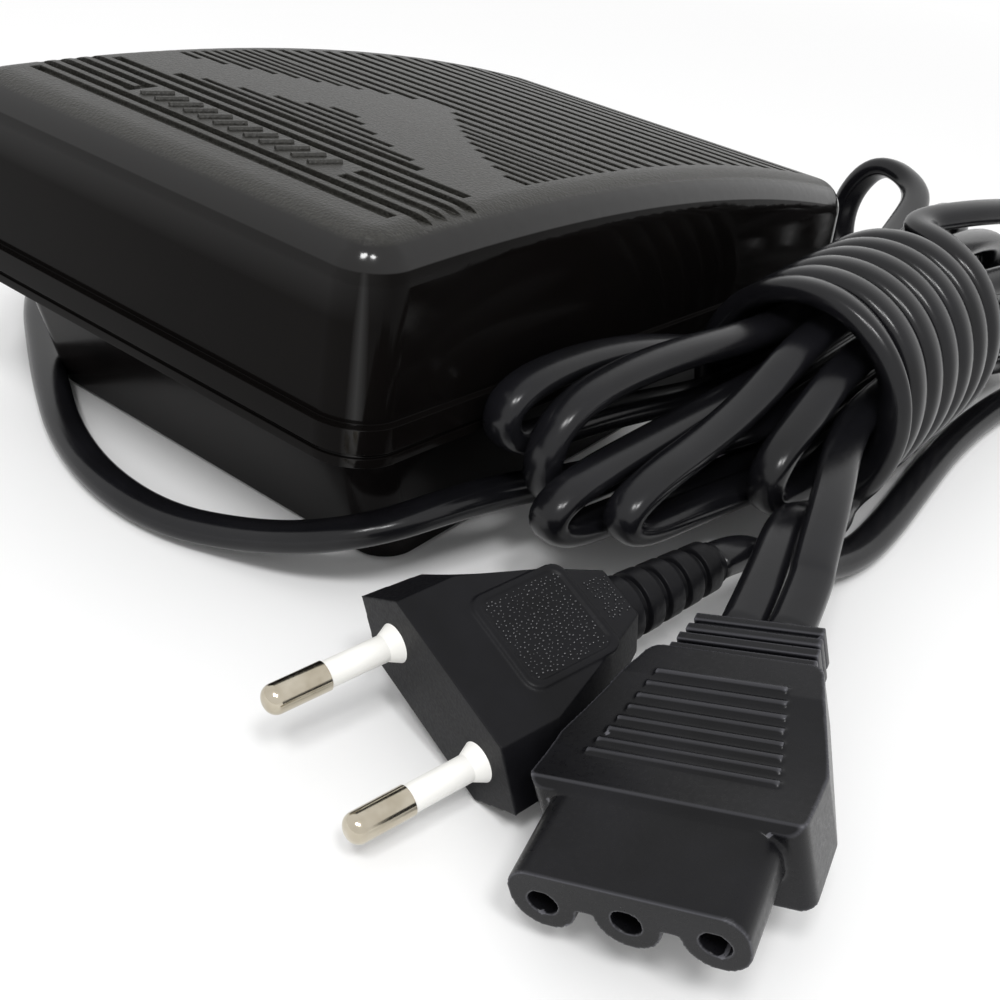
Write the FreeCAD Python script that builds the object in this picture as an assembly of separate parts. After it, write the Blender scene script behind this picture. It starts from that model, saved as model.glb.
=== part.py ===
import FreeCAD, Part
import math
import os

# Foot control of a domestic sewing machine, all sizes in millimetres.
# X runs across the pedal, Y along it with the toe end at +Y, Z up from the floor.

V = FreeCAD.Vector

# Overall sizes of the treadle cover
cover_width = 95.0
cover_length = 155.5
crown_height = 57.0
crown_radius = 528.0
crown_peak_y = 77.0
cover_wall = 2.4
cover_side_draft = 0.035
cover_toe_draft = 0.10
cover_heel_draft = 0.04
cover_corner_radius = 7.5
cover_top_fillet = 6.8
draft_datum_z = 30.0

# The skirt round the open rim of the cover
skirt_step = 1.2
skirt_height = 6.0
skirt_corner_radius = 8.0
rim_heel_z = 12.0
rim_slope = 0.091
parting_above_rim = 1.5
parting_height = 0.6
parting_depth = 0.5

# Grip grooves across the crown
groove_depth = 0.8
coarse_pitch = 3.15
coarse_width = 1.9
coarse_count = 7
first_groove_from_toe = 14.4
groove_half_length = 38.2
wrap_half_length = 43.0
fine_pitch = 2.4
fine_width = 1.2
fine_count = 5
panel_half_length = 23.0
panel_frame_width = 1.5
heel_rib_start = 41.9
heel_rib_steady = 8
heel_rib_growth = 1.066
heel_rib_count = 26
heel_rib_share = 0.5
valley_depth = 30.5
valley_bow = 3.0
edge_margin = 3.0

# Base tub
foot_stand = 0.8
base_side_gap = 2.7
base_half_width = cover_width / 2 - skirt_step - cover_wall - base_side_gap
base_side_taper = 0.04
base_toe_gap = 15.95
base_toe_y = cover_length / 2 - base_toe_gap
base_toe_taper = 0.31
base_heel_gap = 1.4
base_wall = 2.2
base_floor = 2.4
base_corner_radius = 6.0
base_above_rim = 7.0

# Hinge at the heel
hinge_from_heel = 13.75
hinge_y = hinge_from_heel - cover_length / 2
hinge_z = 11.6
hinge_pin_radius = 2.0
hinge_running_gap = 0.05
hinge_lug_radius = 5.0
cover_lug_inset = 10.2
cover_lug_x = base_half_width - cover_lug_inset
cover_lug_thick = 4.0
base_lug_gap = 0.25
base_lug_thick = 4.0
clip_thick = 0.8
clip_radius = 3.6

# Return springs
spring_inset = 10.2
spring_from_toe = 35.75
spring_x = base_half_width - spring_inset
spring_y = cover_length / 2 - spring_from_toe
spring_outer_radius = 5.5
spring_wire = 1.2
spring_turns = 7
spring_length = 31.0
spring_post_radius = 3.8
spring_post_height = 6.0
spring_seat_gap = 0.3
cup_wall = 1.6

# Stop hooks near the toe
hook_inset = 7.2
hook_from_toe = 21.75
hook_x = base_half_width - hook_inset
hook_y = cover_length / 2 - hook_from_toe
hook_width = 8.0
hook_thick = 2.6
hook_lip = 2.2
hook_z = 15.0
hook_lip_height = 3.0
hook_gap = 0.3

# Rubber feet
foot_radius = 5.0
foot_recess = 1.0
foot_gap = 0.05
foot_inset = 11.2
foot_from_toe = 31.75
foot_from_heel = 29.75
foot_x = base_half_width - foot_inset
foot_y_toe = cover_length / 2 - foot_from_toe
foot_y_heel = foot_from_heel - cover_length / 2

# Circuit board and what stands on it
board_half_width = 21.0
board_y_heel = -30.0
board_y_toe = 44.0
board_thick = 1.6
board_z = 8.2
board_hole_inset = 4.0
board_post_radius = 3.2
board_screw_radius = 1.3
board_screw_length = 5.6
board_screw_bite = 4.5
clamp_screw_length = 8.0
clamp_bar_height = 4.6
screw_head_radius = 2.6
screw_head_height = 1.6

pot_x = -7.5
pot_half_width = 4.5
pot_y_heel = -18.0
pot_y_toe = 27.0
pot_height = 6.0
pot_wall = 0.8
pot_slot_half_width = 0.9
tab_half_thick = 0.7
tab_half_length = 1.0
slider_y = 2.0
slider_travel = 3.2

lever_pivot_y = 2.0
lever_pivot_z = 33.0
lever_thick = 3.0
lever_hub_radius = 4.0
lever_pin_radius = 1.5
lever_nose_y = 28.0
lever_nose_z = 38.0
lever_nose_radius = 3.0
lever_nose_gap = 0.15
lever_fork_z = 16.5
bracket_inner_half = 6.0
bracket_sheet = 1.2
bracket_half_width = 5.0

# Parts on the board and at the terminals
triac_x = 12.0
triac_y = -16.0
triac_half_width = 5.0
triac_back = 2.0
triac_lift = 3.0
triac_tab_height = 14.5
triac_tab_thick = 1.2
triac_case_height = 8.5
triac_case_thick = 3.2
triac_screw_height = 14.0
triac_screw_radius = 1.5
triac_leg_pitch = 2.54
triac_leg_width = 0.7
triac_leg_thick = 0.6
triac_leg_offset = 2.9
sink_half_width = 8.0
sink_height = 17.0
sink_back_thick = 2.0
fin_count = 5
fin_pitch = 3.6
fin_thick = 1.6
fin_reach = 6.0
fin_lift = 3.0
suppressor_x = 12.5
suppressor_y = 27.5
suppressor_half_width = 6.0
suppressor_half_length = 7.5
suppressor_top = 12.0
suppressor_leg_offset = 5.0
timing_x = 11.5
timing_y = 11.7
timing_half_width = 3.5
timing_half_thick = 1.7
timing_top = 8.0
timing_leg_offset = 2.5
component_lift = 0.5
resistor_count = 3
resistor_pitch = 4.6
resistor_first_y = -6.0
resistor_x = 7.5
resistor_radius = 1.2
resistor_length = 6.5
resistor_height = 1.6
resistor_lead_x = 5.2
resistor_lead_length = 11.1
resistor_lead_radius = 0.3
choke_x = -16.0
choke_y = 23.0
choke_length = 13.0
choke_turns = 11
choke_height = 3.8
choke_core_radius = 2.0
choke_flange_radius = 3.6
choke_flange_thick = 1.5
winding_gap = 0.1
winding_base_radius = 2.7
winding_ridge_radius = 3.1
clamp_inset = 6.7
clamp_x = base_half_width - clamp_inset
clamp_post_radius = 2.8
clamp_post_offset = 7.0
block_inset = 14.7
block_x = base_half_width - block_inset
block_y = -6.0
block_half_x = 5.2
block_half_y = 4.5
block_port_x = 2.3
block_port_z = 4.0
sheath_inset = 12.2
sheath_end_x = base_half_width - sheath_inset
core_radius = 0.8

# Cord entry on the right wall
cord_diameter = 5.4
entry_from_toe = 57.75
entry_y = cover_length / 2 - entry_from_toe
entry_z = 9.0
gland_length = 20.0
gland_root_radius = 4.6
gland_tip_radius = 3.6
gland_flange = 2.2
gland_neck_radius = 4.0
gland_wall_gap = 0.35
gland_inner_lip = 1.4
gland_inner_radius = 5.4
gland_flange_radius = 5.8

# Plug
plug_origin = (-73.0, 88.4)
plug_axis_z = 10.3
plug_yaw_deg = 13.5
plug_pitch_deg = -5.0
plug_roll_deg = -18.3
pin_spacing = 19.0
pin_length = 19.0
pin_radius = 2.0
sleeve_length = 10.4
sleeve_radius = 1.82
sleeve_flare = 0.9
pin_core_radius = 1.5
plug_half_width = 17.6
plug_flat_half = 11.5
plug_half_thick = 6.85
plug_body_length = 29.0
plug_neck_half = 6.4
plug_relief_length = 20.0
relief_rib_count = 5
relief_root_radius = 4.9
relief_tip_radius = 3.7
plug_pad_half_width = 7.5
plug_pad_from_front = 8.0
plug_pad_length = 15.0
plug_pad_proud = 0.4
plug_pad_rim = 0.9
plug_pad_rim_ends = 1.0

# Machine connector
connector_origin = (-110.0, 101.0)
connector_hole_z = 11.2
connector_yaw_deg = -13.5
connector_pitch_deg = -8.2
connector_roll_deg = 17.5
hole_pitch = 9.8
hole_radius = 1.75
hole_depth = 11.0
nose_top = 4.5
nose_length = 11.8
nose_corner = 3.0
lobe_radius = 3.9
nose_half_width = hole_pitch + lobe_radius
connector_half_width = 16.2
connector_top = 6.0
connector_bottom = -7.3
connector_slope = 2.4
connector_body_length = 27.6
connector_waist_half = 11.0
connector_collar_length = 9.6
collar_half_width = 9.6
collar_top = 2.3
collar_bottom = -5.5
collar_plate_count = 4
ridge_count = 8
ridge_pitch = 2.1
ridge_radius = 0.5
ridge_half_length = 11.5
ridge_taper = 0.45
ridge_from_front = 7.0
dish_from_front = 14.3
dish_radius = 52.0
dish_depth = 1.0
connector_bend_share = 0.36
connector_corner = 2.0
connector_front_bevel = 1.5
contact_recess = 3.0
contact_wall = 0.4
lead_spread = 3.2

# Folded leads beside the pedal, drawn in at the waist by six wraps
waist_toe_y = -3.0
waist_heel_y = -50.0
waist_half_width = 11.6
waist_half_height = 12.0
inner_share = 0.4
waist_centre_x = -73.0
waist_centre_z = 21.4
wrap_turns = 6
wrap_corners = 12
wrap_pitch = 7.0
wrap_half_width = 17.9
wrap_half_height = 18.3

half_width = cover_width / 2
half_length = cover_length / 2


def box(x0, x1, y0, y1, z0, z1):
    return Part.makeBox(x1 - x0, y1 - y0, z1 - z0, V(x0, y0, z0))


def rod(start, direction, radius, length):
    return Part.makeCylinder(radius, length, V(*start), V(*direction))


def polygon_yz(points, x0, x1):
    corners = [V(x0, y, z) for y, z in points]
    face = Part.Face(Part.makePolygon(corners + corners[:1]))
    return face.extrude(V(x1 - x0, 0, 0))


def polygon_xz(points, y0, y1):
    corners = [V(x, y0, z) for x, z in points]
    face = Part.Face(Part.makePolygon(corners + corners[:1]))
    return face.extrude(V(0, y1 - y0, 0))


def polygon_xy(points, z0, z1):
    corners = [V(x, y, z0) for x, y in points]
    face = Part.Face(Part.makePolygon(corners + corners[:1]))
    return face.extrude(V(0, 0, z1 - z0))


def joined(shapes):
    first = shapes[0]
    return first.multiFuse(shapes[1:]).removeSplitter()


def group(shapes):
    return Part.makeCompound(shapes)


def rounded_block(x0, x1, y0, y1, z0, z1, radius):
    block = box(x0, x1, y0, y1, z0, z1)
    upright = [e for e in block.Edges if abs(e.tangentAt(e.FirstParameter).z) > 0.9]
    return block.makeFillet(radius, upright)


def save(shape, name):
    shape.exportStep("parts/" + name + ".step")
    print(name, "solids", len(shape.Solids), "volume", round(shape.Volume, 1))


# Heights of the crown and of the inclined rim

def crown_z(y, drop=0.0):
    radius = crown_radius - drop
    centre = crown_height - crown_radius
    return centre + math.sqrt(radius ** 2 - (y - crown_peak_y) ** 2)


def rim_z(y):
    return rim_heel_z + rim_slope * (y + half_length)


def toe_wall_y(z, inset):
    return half_length - skirt_step - inset - cover_toe_draft * (z - draft_datum_z)


def heel_wall_y(z, inset):
    return -half_length + skirt_step + inset + cover_heel_draft * (z - draft_datum_z)


def side_wall_x(z, inset):
    return half_width - skirt_step - inset - cover_side_draft * (z - draft_datum_z)


def crown_profile(inset, y0, y1, low):
    """Face in the YZ plane between a low line and the crown arc."""
    a = V(0, y0, crown_z(y0, inset))
    b = V(0, (y0 + y1) / 2, crown_z((y0 + y1) / 2, inset))
    c = V(0, y1, crown_z(y1, inset))
    arc = Part.Arc(a, b, c).toShape()
    sides = [Part.makeLine(c, V(0, y1, low)), Part.makeLine(V(0, y1, low), V(0, y0, low))]
    sides.append(Part.makeLine(V(0, y0, low), a))
    return Part.Face(Part.Wire([arc] + sides))


def above_crown(inset):
    """Everything over the crown surface lowered by inset."""
    reach = half_length + 20
    tall = box(-half_width - 20, half_width + 20, -reach, reach, 0, crown_height + 20)
    under = crown_profile(inset, -reach, reach, -10).extrude(V(cover_width + 60, 0, 0))
    under.translate(V(-half_width - 30, 0, 0))
    return tall.cut(under)


def cover_form(inset):
    """Closed crowned body with drafted walls and rounded edges."""
    low = 0.0
    high = crown_height + 10
    side = [(-side_wall_x(low, inset), low), (side_wall_x(low, inset), low)]
    side += [(side_wall_x(high, inset), high), (-side_wall_x(high, inset), high)]
    front = [(heel_wall_y(low, inset), low), (toe_wall_y(low, inset), low)]
    front += [(toe_wall_y(high, inset), high), (heel_wall_y(high, inset), high)]
    body = polygon_xz(side, -half_length, half_length)
    body = body.common(polygon_yz(front, -half_width, half_width))
    upright = [e for e in body.Edges if abs(e.tangentAt(e.FirstParameter).z) > 0.9]
    body = body.makeFillet(cover_corner_radius - inset, upright)
    body = body.cut(above_crown(inset))
    rim = []
    for edge in body.Edges:
        first = edge.valueAt(edge.FirstParameter)
        last = edge.valueAt(edge.LastParameter)
        on_crown = all(abs(p.z - crown_z(p.y, inset)) < 0.05 for p in (first, last))
        if on_crown:
            rim.append(edge)
    return body.makeFillet(cover_top_fillet - inset, rim)


def rim_slab(above, height):
    """Layer parallel to the inclined rim."""
    reach = half_length + 10
    points = [(-reach, rim_z(-reach) + above), (reach, rim_z(reach) + above)]
    points += [(reach, rim_z(reach) + above + height), (-reach, rim_z(-reach) + above + height)]
    return polygon_yz(points, -half_width - 10, half_width + 10)


def skirt_plan(inset):
    x = half_width - inset
    y = half_length - inset
    return rounded_block(-x, x, -y, y, 0, crown_height, skirt_corner_radius - inset)


def valley_y(x):
    """Toe edge of the heel ribs, a wide V with its point on the middle line."""
    share = x / (groove_half_length)
    from_toe = heel_rib_start + valley_depth * (1 - share) - valley_bow * math.sin(math.pi * share)
    return half_length - from_toe


def valley_x(y):
    low, high = 0.0, groove_half_length
    for _ in range(30):
        middle = (low + high) / 2
        if valley_y(middle) > y:
            high = middle
        else:
            low = middle
    return high


def groove_boxes():
    """Tall boxes, one for each straight length of groove."""
    top = crown_height + 5
    low = 20.0
    boxes = []
    first = half_length - first_groove_from_toe
    panel_top = first - coarse_pitch
    for number in range(coarse_count):
        y = first - coarse_pitch * number
        half = wrap_half_length if 1 <= number <= 4 else groove_half_length
        if number == 6:
            half = groove_half_length * 0.7
        spans = [(-half, half)]
        if number in (2, 3):
            spans = [(-half, -panel_half_length), (panel_half_length, half)]
        for x0, x1 in spans:
            boxes.append(box(x0, x1, y - coarse_width / 2, y + coarse_width / 2, low, top))
    last = first - coarse_pitch * (coarse_count - 1)
    for number in range(fine_count):
        y = last - fine_pitch * (number + 1)
        share = (number + 1) / fine_count
        half = edge_margin + groove_half_length * 0.7 * (1 - share) ** 1.3
        boxes.append(box(-half, half, y - fine_width / 2, y + fine_width / 2, low, top))
    frame_y = panel_top - coarse_pitch * 2.4
    end_x = panel_half_length
    boxes.append(box(end_x - panel_frame_width, end_x, frame_y, panel_top - coarse_pitch * 0.6, low, top))
    y = half_length - heel_rib_start
    pitch = fine_pitch
    for number in range(heel_rib_count):
        width = pitch * heel_rib_share
        if y - width / 2 < -half_length + first_groove_from_toe * 0.55:
            break
        inner = valley_x(y)
        if inner < edge_margin:
            spans = [(-groove_half_length, groove_half_length)]
        else:
            spans = [(-groove_half_length - 0.3, -inner), (inner, groove_half_length + 0.3)]
        for x0, x1 in spans:
            if x1 - x0 > 1.0:
                boxes.append(box(x0, x1, y - width / 2, y + width / 2, low, top))
        if number >= heel_rib_steady:
            pitch = max(pitch * heel_rib_growth, 3.3)
        y -= pitch
    return boxes


def hung_from_crown(shape):
    """Keep the part of an inner feature that lies under the middle of the wall."""
    return shape.cut(above_crown(cover_wall / 2))


def treadle_cover():
    outer = cover_form(0.0)
    inner = cover_form(cover_wall)
    shell = outer.fuse(skirt_plan(0).common(rim_slab(0, skirt_height)))
    shell = shell.cut(inner)
    reach = half_length + 20
    under = [(-reach, -20), (reach, -20), (reach, rim_z(reach)), (-reach, rim_z(-reach))]
    shell = shell.cut(polygon_yz(under, -half_width - 20, half_width + 20))
    line = skirt_plan(-1).common(rim_slab(parting_above_rim, parting_height))
    shell = shell.cut(line.cut(skirt_plan(parting_depth)))
    grooves = group(groove_boxes()).common(above_crown(groove_depth))
    shell = shell.cut(grooves)
    inside = []
    for side in (-1, 1):
        x = side * cover_lug_x
        x0 = x - cover_lug_thick / 2
        x1 = x + cover_lug_thick / 2
        plate = box(x0, x1, hinge_y - hinge_lug_radius, hinge_y + hinge_lug_radius, hinge_z, crown_height)
        round_end = rod((x0, hinge_y, hinge_z), (1, 0, 0), hinge_lug_radius, cover_lug_thick)
        lug = hung_from_crown(plate.fuse(round_end))
        bore = rod((x0 - 1, hinge_y, hinge_z), (1, 0, 0), hinge_pin_radius + hinge_running_gap,
                   cover_lug_thick + 2)
        inside.append(lug.cut(bore))
        cup_z = base_top_floor() + spring_length + 2 * spring_seat_gap
        cup = rod((side * spring_x, spring_y, cup_z), (0, 0, 1), spring_outer_radius + cup_wall,
                  crown_height - cup_z)
        guide = rod((side * spring_x, spring_y, cup_z - spring_post_height), (0, 0, 1),
                    spring_post_radius, spring_post_height + 1)
        inside.append(hung_from_crown(cup.fuse(guide)))
        arm0 = side * (hook_x - hook_thick)
        arm1 = side * hook_x
        lip1 = side * (hook_x + hook_lip)
        arm = box(min(arm0, arm1), max(arm0, arm1), hook_y - hook_width / 2, hook_y + hook_width / 2,
                  hook_z, crown_height)
        lip = polygon_xz([(arm1, hook_z), (lip1, hook_z + hook_lip), (lip1, hook_z + hook_lip_height),
                          (arm1, hook_z + hook_lip_height)],
                         hook_y - hook_width / 2, hook_y + hook_width / 2)
        inside.append(hung_from_crown(arm.fuse(lip)))
    nose_top = lever_nose_z + lever_nose_radius + lever_nose_gap
    pusher = box(pot_x - 4, pot_x + 4, lever_nose_y - 5, lever_nose_y + 5, nose_top, crown_height)
    web = box(pot_x - 12, pot_x + 12, lever_nose_y - 1, lever_nose_y + 1, nose_top + 3, crown_height)
    inside.append(hung_from_crown(pusher.fuse(web)))
    return joined([shell] + inside)


# Base tub

def base_top_floor():
    return foot_stand + base_floor


def base_form(inset):
    low = foot_stand + (base_floor if inset else 0)
    high = rim_z(half_length) + base_above_rim + 5
    x_low = base_half_width + base_side_taper * low - inset
    x_high = base_half_width + base_side_taper * high - inset
    y_low = base_toe_y + base_toe_taper * low - inset
    y_high = base_toe_y + base_toe_taper * high - inset
    heel = -half_length + skirt_step + cover_wall + base_heel_gap + inset
    body = polygon_xz([(-x_low, low), (x_low, low), (x_high, high), (-x_high, high)],
                      -half_length, half_length + 20)
    body = body.common(polygon_yz([(heel, low), (y_low, low), (y_high, high), (heel, high)],
                                  -half_width, half_width))
    upright = [e for e in body.Edges if abs(e.tangentAt(e.FirstParameter).z) > 0.9]
    return body.makeFillet(base_corner_radius - inset, upright)


def foot_places():
    return [(side * foot_x, y) for side in (-1, 1) for y in (foot_y_toe, foot_y_heel)]


def board_corners():
    xs = (-board_half_width + board_hole_inset, board_half_width - board_hole_inset)
    ys = (board_y_heel + board_hole_inset, board_y_toe - board_hole_inset)
    return [(x, y) for x in xs for y in ys]


def base_lug_span(side):
    inner = cover_lug_x + cover_lug_thick / 2 + base_lug_gap
    outer = inner + base_lug_thick
    return (inner, outer) if side > 0 else (-outer, -inner)


def base_tub():
    body = base_form(0.0)
    cavity = base_form(base_wall)
    over = rim_slab(base_above_rim, crown_height)
    tub = body.cut(cavity).cut(over)
    floor_z = base_top_floor()
    added = []
    for side in (-1, 1):
        x0, x1 = base_lug_span(side)
        plate = box(x0, x1, hinge_y - hinge_lug_radius, hinge_y + hinge_lug_radius, floor_z - 0.5, hinge_z)
        lug = plate.fuse(rod((x0, hinge_y, hinge_z), (1, 0, 0), hinge_lug_radius, x1 - x0))
        added.append(lug)
        seat = rod((side * spring_x, spring_y, floor_z - 0.5), (0, 0, 1), spring_post_radius,
                   spring_post_height + 0.5)
        added.append(seat)
        catch_x = hook_x + 0.6
        wall_x = base_half_width + base_side_taper * hook_z - base_wall / 2
        catch_z = hook_z + hook_lip_height + hook_gap
        catch = box(catch_x, wall_x, hook_y - hook_width / 2 - 1, hook_y + hook_width / 2 - 1,
                    catch_z, catch_z + 4)
        if side < 0:
            catch = catch.mirror(V(0, 0, 0), V(1, 0, 0))
        added.append(catch)
    for x, y in board_corners():
        added.append(rod((x, y, floor_z - 0.5), (0, 0, 1), board_post_radius, board_z - floor_z + 0.5))
    for y in clamp_post_ys():
        added.append(rod((clamp_x, y, floor_z - 0.5), (0, 0, 1), clamp_post_radius,
                         entry_z - floor_z + 0.5))
    tub = joined([tub] + added)
    holes = []
    for side in (-1, 1):
        x0, x1 = base_lug_span(side)
        holes.append(rod((x0 - 0.1, hinge_y, hinge_z), (1, 0, 0), hinge_pin_radius + 0.02, x1 - x0 + 0.2))
    for x, y in board_corners():
        holes.append(rod((x, y, board_z - board_screw_bite), (0, 0, 1), board_screw_radius + 0.02,
                         board_screw_bite + 0.5))
    for y in clamp_post_ys():
        holes.append(rod((clamp_x, y, floor_z + 0.4), (0, 0, 1), board_screw_radius + 0.02, 8))
    for x, y in foot_places():
        holes.append(rod((x, y, foot_stand - 1), (0, 0, 1), foot_radius + foot_gap, foot_recess + 1))
    holes.append(rod((base_half_width - 4, entry_y, entry_z), (1, 0, 0), gland_neck_radius + 0.02, 8))
    return tub.cut(group(holes))


def rubber_feet():
    feet = []
    for x, y in foot_places():
        pad = Part.makeCone(foot_radius - 0.4, foot_radius, foot_stand, V(x, y, 0))
        pad = pad.fuse(rod((x, y, foot_stand), (0, 0, 1), foot_radius, foot_recess - 0.02))
        feet.append(pad.removeSplitter())
    return group(feet)


# Hinge hardware

def hinge_pin():
    end = base_lug_span(1)[1]
    pin = rod((-end, hinge_y, hinge_z), (1, 0, 0), hinge_pin_radius, 2 * end)
    ends = [e for e in pin.Edges if abs(abs(e.CenterOfMass.x) - end) < 0.01]
    pin = pin.makeChamfer(0.4, ends)
    for side in (-1, 1):
        x = side * clip_place() - clip_thick / 2
        ring = rod((x, hinge_y, hinge_z), (1, 0, 0), hinge_pin_radius + 1, clip_thick)
        core = rod((x, hinge_y, hinge_z), (1, 0, 0), hinge_pin_radius - 0.5, clip_thick)
        pin = pin.cut(ring.cut(core))
    return pin


def clip_place():
    return cover_lug_x - cover_lug_thick / 2 - base_lug_gap - clip_thick / 2


def pin_clips():
    clips = []
    for side in (-1, 1):
        x = side * clip_place() - clip_thick / 2 + 0.03
        thick = clip_thick - 0.06
        ring = rod((x, hinge_y, hinge_z), (1, 0, 0), clip_radius, thick)
        ring = ring.cut(rod((x, hinge_y, hinge_z), (1, 0, 0), hinge_pin_radius - 0.45, thick))
        gap = box(x - 1, x + thick + 1, hinge_y - 1.2, hinge_y + 1.2, hinge_z, hinge_z + clip_radius + 1)
        clips.append(ring.cut(gap))
    return group(clips)


def return_spring(side):
    """Helical compression spring standing on the base floor."""
    radius = spring_outer_radius - spring_wire / 2
    low = base_top_floor() + spring_seat_gap + spring_wire / 2
    height = spring_length - spring_wire
    helix = Part.makeHelix(height / spring_turns, height, radius)
    circle = Part.Circle(V(radius, 0, 0), V(0, 1, 0), spring_wire / 2).toShape()
    wire = Part.Wire([circle])
    spring = Part.Wire(helix.Edges).makePipeShell([wire], True, True)
    spring.translate(V(side * spring_x, spring_y, low))
    return spring


# Circuit board group

def circuit_board():
    board = rounded_block(-board_half_width, board_half_width, board_y_heel, board_y_toe,
                          board_z, board_z + board_thick, 1.5)
    for x, y in board_corners():
        board = board.cut(rod((x, y, board_z - 1), (0, 0, 1), board_screw_radius + 0.2, board_thick + 2))
    return board


def pan_screw(x, y, seat_z, length):
    shank = rod((x, y, seat_z - length), (0, 0, 1), board_screw_radius, length)
    head = rod((x, y, seat_z), (0, 0, 1), screw_head_radius, screw_head_height)
    rims = [e for e in head.Edges if abs(e.CenterOfMass.z - seat_z - screw_head_height) < 0.01]
    head = head.makeFillet(0.8, rims)
    slot = box(x - 0.35, x + 0.35, y - screw_head_radius, y + screw_head_radius,
               seat_z + screw_head_height * 0.5, seat_z + screw_head_height + 1)
    return shank.fuse(head).cut(slot)


def board_screws():
    return group([pan_screw(x, y, board_top(), board_screw_length) for x, y in board_corners()])


def board_top():
    return board_z + board_thick


def potentiometer_case():
    z0 = board_top()
    case = box(pot_x - pot_half_width, pot_x + pot_half_width, pot_y_heel, pot_y_toe, z0, z0 + pot_height)
    edges = [e for e in case.Edges if abs(e.CenterOfMass.z - z0 - pot_height) < 0.01]
    case = case.makeFillet(0.6, edges)
    inner = box(pot_x - pot_half_width + pot_wall, pot_x + pot_half_width - pot_wall,
                pot_y_heel + pot_wall, pot_y_toe - pot_wall, z0 + pot_wall, z0 + pot_height - pot_wall)
    slot = box(pot_x - pot_slot_half_width, pot_x + pot_slot_half_width,
               slider_y - slider_travel - 3, slider_y + 3, z0 + pot_wall, z0 + pot_height + 1)
    return case.cut(inner).cut(slot)


def potentiometer_slider():
    z0 = board_top() + pot_wall + 0.3
    z1 = board_top() + pot_height - pot_wall - 0.3
    inner = pot_half_width - pot_wall - 0.3
    carriage = box(pot_x - inner, pot_x + inner, slider_y - 5, slider_y + 5, z0, z1)
    tab = box(pot_x - tab_half_thick, pot_x + tab_half_thick, slider_y - tab_half_length,
              slider_y + tab_half_length, z0, lever_fork_z + 3.2)
    return carriage.fuse(tab).removeSplitter()


def lever_bracket():
    """Bent sheet yoke straddling the potentiometer."""
    z0 = board_top()
    inner = bracket_inner_half
    outer = inner + bracket_sheet
    parts = []
    for side in (-1, 1):
        x0 = pot_x + (inner if side > 0 else -outer)
        cheek = box(x0, x0 + bracket_sheet, lever_pivot_y - bracket_half_width,
                    lever_pivot_y + bracket_half_width, z0, lever_pivot_z)
        eye = rod((x0, lever_pivot_y, lever_pivot_z), (1, 0, 0), bracket_half_width, bracket_sheet)
        foot_x0 = pot_x + (inner if side > 0 else -outer - 5)
        foot = box(foot_x0, foot_x0 + bracket_sheet + 5, lever_pivot_y - bracket_half_width,
                   lever_pivot_y + bracket_half_width, z0, z0 + bracket_sheet)
        piece = joined([cheek, eye, foot])
        bore = rod((x0 - 1, lever_pivot_y, lever_pivot_z), (1, 0, 0), lever_pin_radius + 0.02, 4)
        parts.append(piece.cut(bore))
    bridge = box(pot_x - outer, pot_x + outer, lever_pivot_y + bracket_half_width - bracket_sheet,
                 lever_pivot_y + bracket_half_width, board_top() + pot_height + 0.4,
                 board_top() + pot_height + 4)
    return joined(parts + [bridge])


def lever_pivot_pin():
    reach = bracket_inner_half + bracket_sheet
    pin = rod((pot_x - reach, lever_pivot_y, lever_pivot_z), (1, 0, 0), lever_pin_radius, 2 * reach)
    head = rod((pot_x - reach - 0.8, lever_pivot_y, lever_pivot_z), (1, 0, 0), 2.6, 0.8)
    return pin.fuse(head).removeSplitter()


def drive_lever():
    hub_half = bracket_inner_half - 0.2
    x0 = pot_x - lever_thick / 2
    hub = rod((pot_x - hub_half, lever_pivot_y, lever_pivot_z), (1, 0, 0), lever_hub_radius, 2 * hub_half)
    nose = rod((pot_x - 3, lever_nose_y, lever_nose_z), (1, 0, 0), lever_nose_radius, 6)
    arm_points = [(lever_pivot_y, lever_pivot_z - 3.6), (lever_nose_y, lever_nose_z - 2.2)]
    arm_points += [(lever_nose_y, lever_nose_z + 2.2), (lever_pivot_y, lever_pivot_z + 3.6)]
    arm = polygon_yz(arm_points, x0, x0 + lever_thick)
    fork_half = 3.2
    drop = polygon_yz([(lever_pivot_y - 3.4, lever_pivot_z), (lever_pivot_y + 3.4, lever_pivot_z),
                       (slider_y + fork_half, lever_fork_z + 5), (slider_y + fork_half, lever_fork_z),
                       (slider_y - fork_half, lever_fork_z), (slider_y - fork_half, lever_fork_z + 5)],
                      x0, x0 + lever_thick)
    lever = joined([hub, nose, arm, drop])
    bore = rod((pot_x - hub_half - 1, lever_pivot_y, lever_pivot_z), (1, 0, 0), lever_pin_radius + 0.05,
               2 * hub_half + 2)
    half_slot = tab_half_length + 0.45
    slot = box(x0 - 1, x0 + lever_thick + 1, slider_y - half_slot, slider_y + half_slot,
               lever_fork_z - 1, lever_fork_z + 4.2)
    return lever.cut(bore).cut(slot)


def clamp_post_ys():
    return (entry_y - clamp_post_offset, entry_y + clamp_post_offset)


def heat_sink():
    """Extruded aluminium channel with upright fins, standing on the board."""
    z0 = board_top()
    left = triac_x - sink_half_width
    face = triac_y - triac_back
    root = face - sink_back_thick
    back = box(left, triac_x + sink_half_width, root, face, z0, z0 + sink_height)
    fins = []
    for n in range(fin_count):
        x = left + fin_pitch * n
        fins.append(box(x, x + fin_thick, root - fin_reach, root, z0 + fin_lift, z0 + sink_height))
    sink = joined([back] + fins)
    hole = (triac_x, root - 0.5, z0 + triac_screw_height)
    return sink.cut(rod(hole, (0, 1, 0), triac_screw_radius + 0.05, sink_back_thick + 1))


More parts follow.
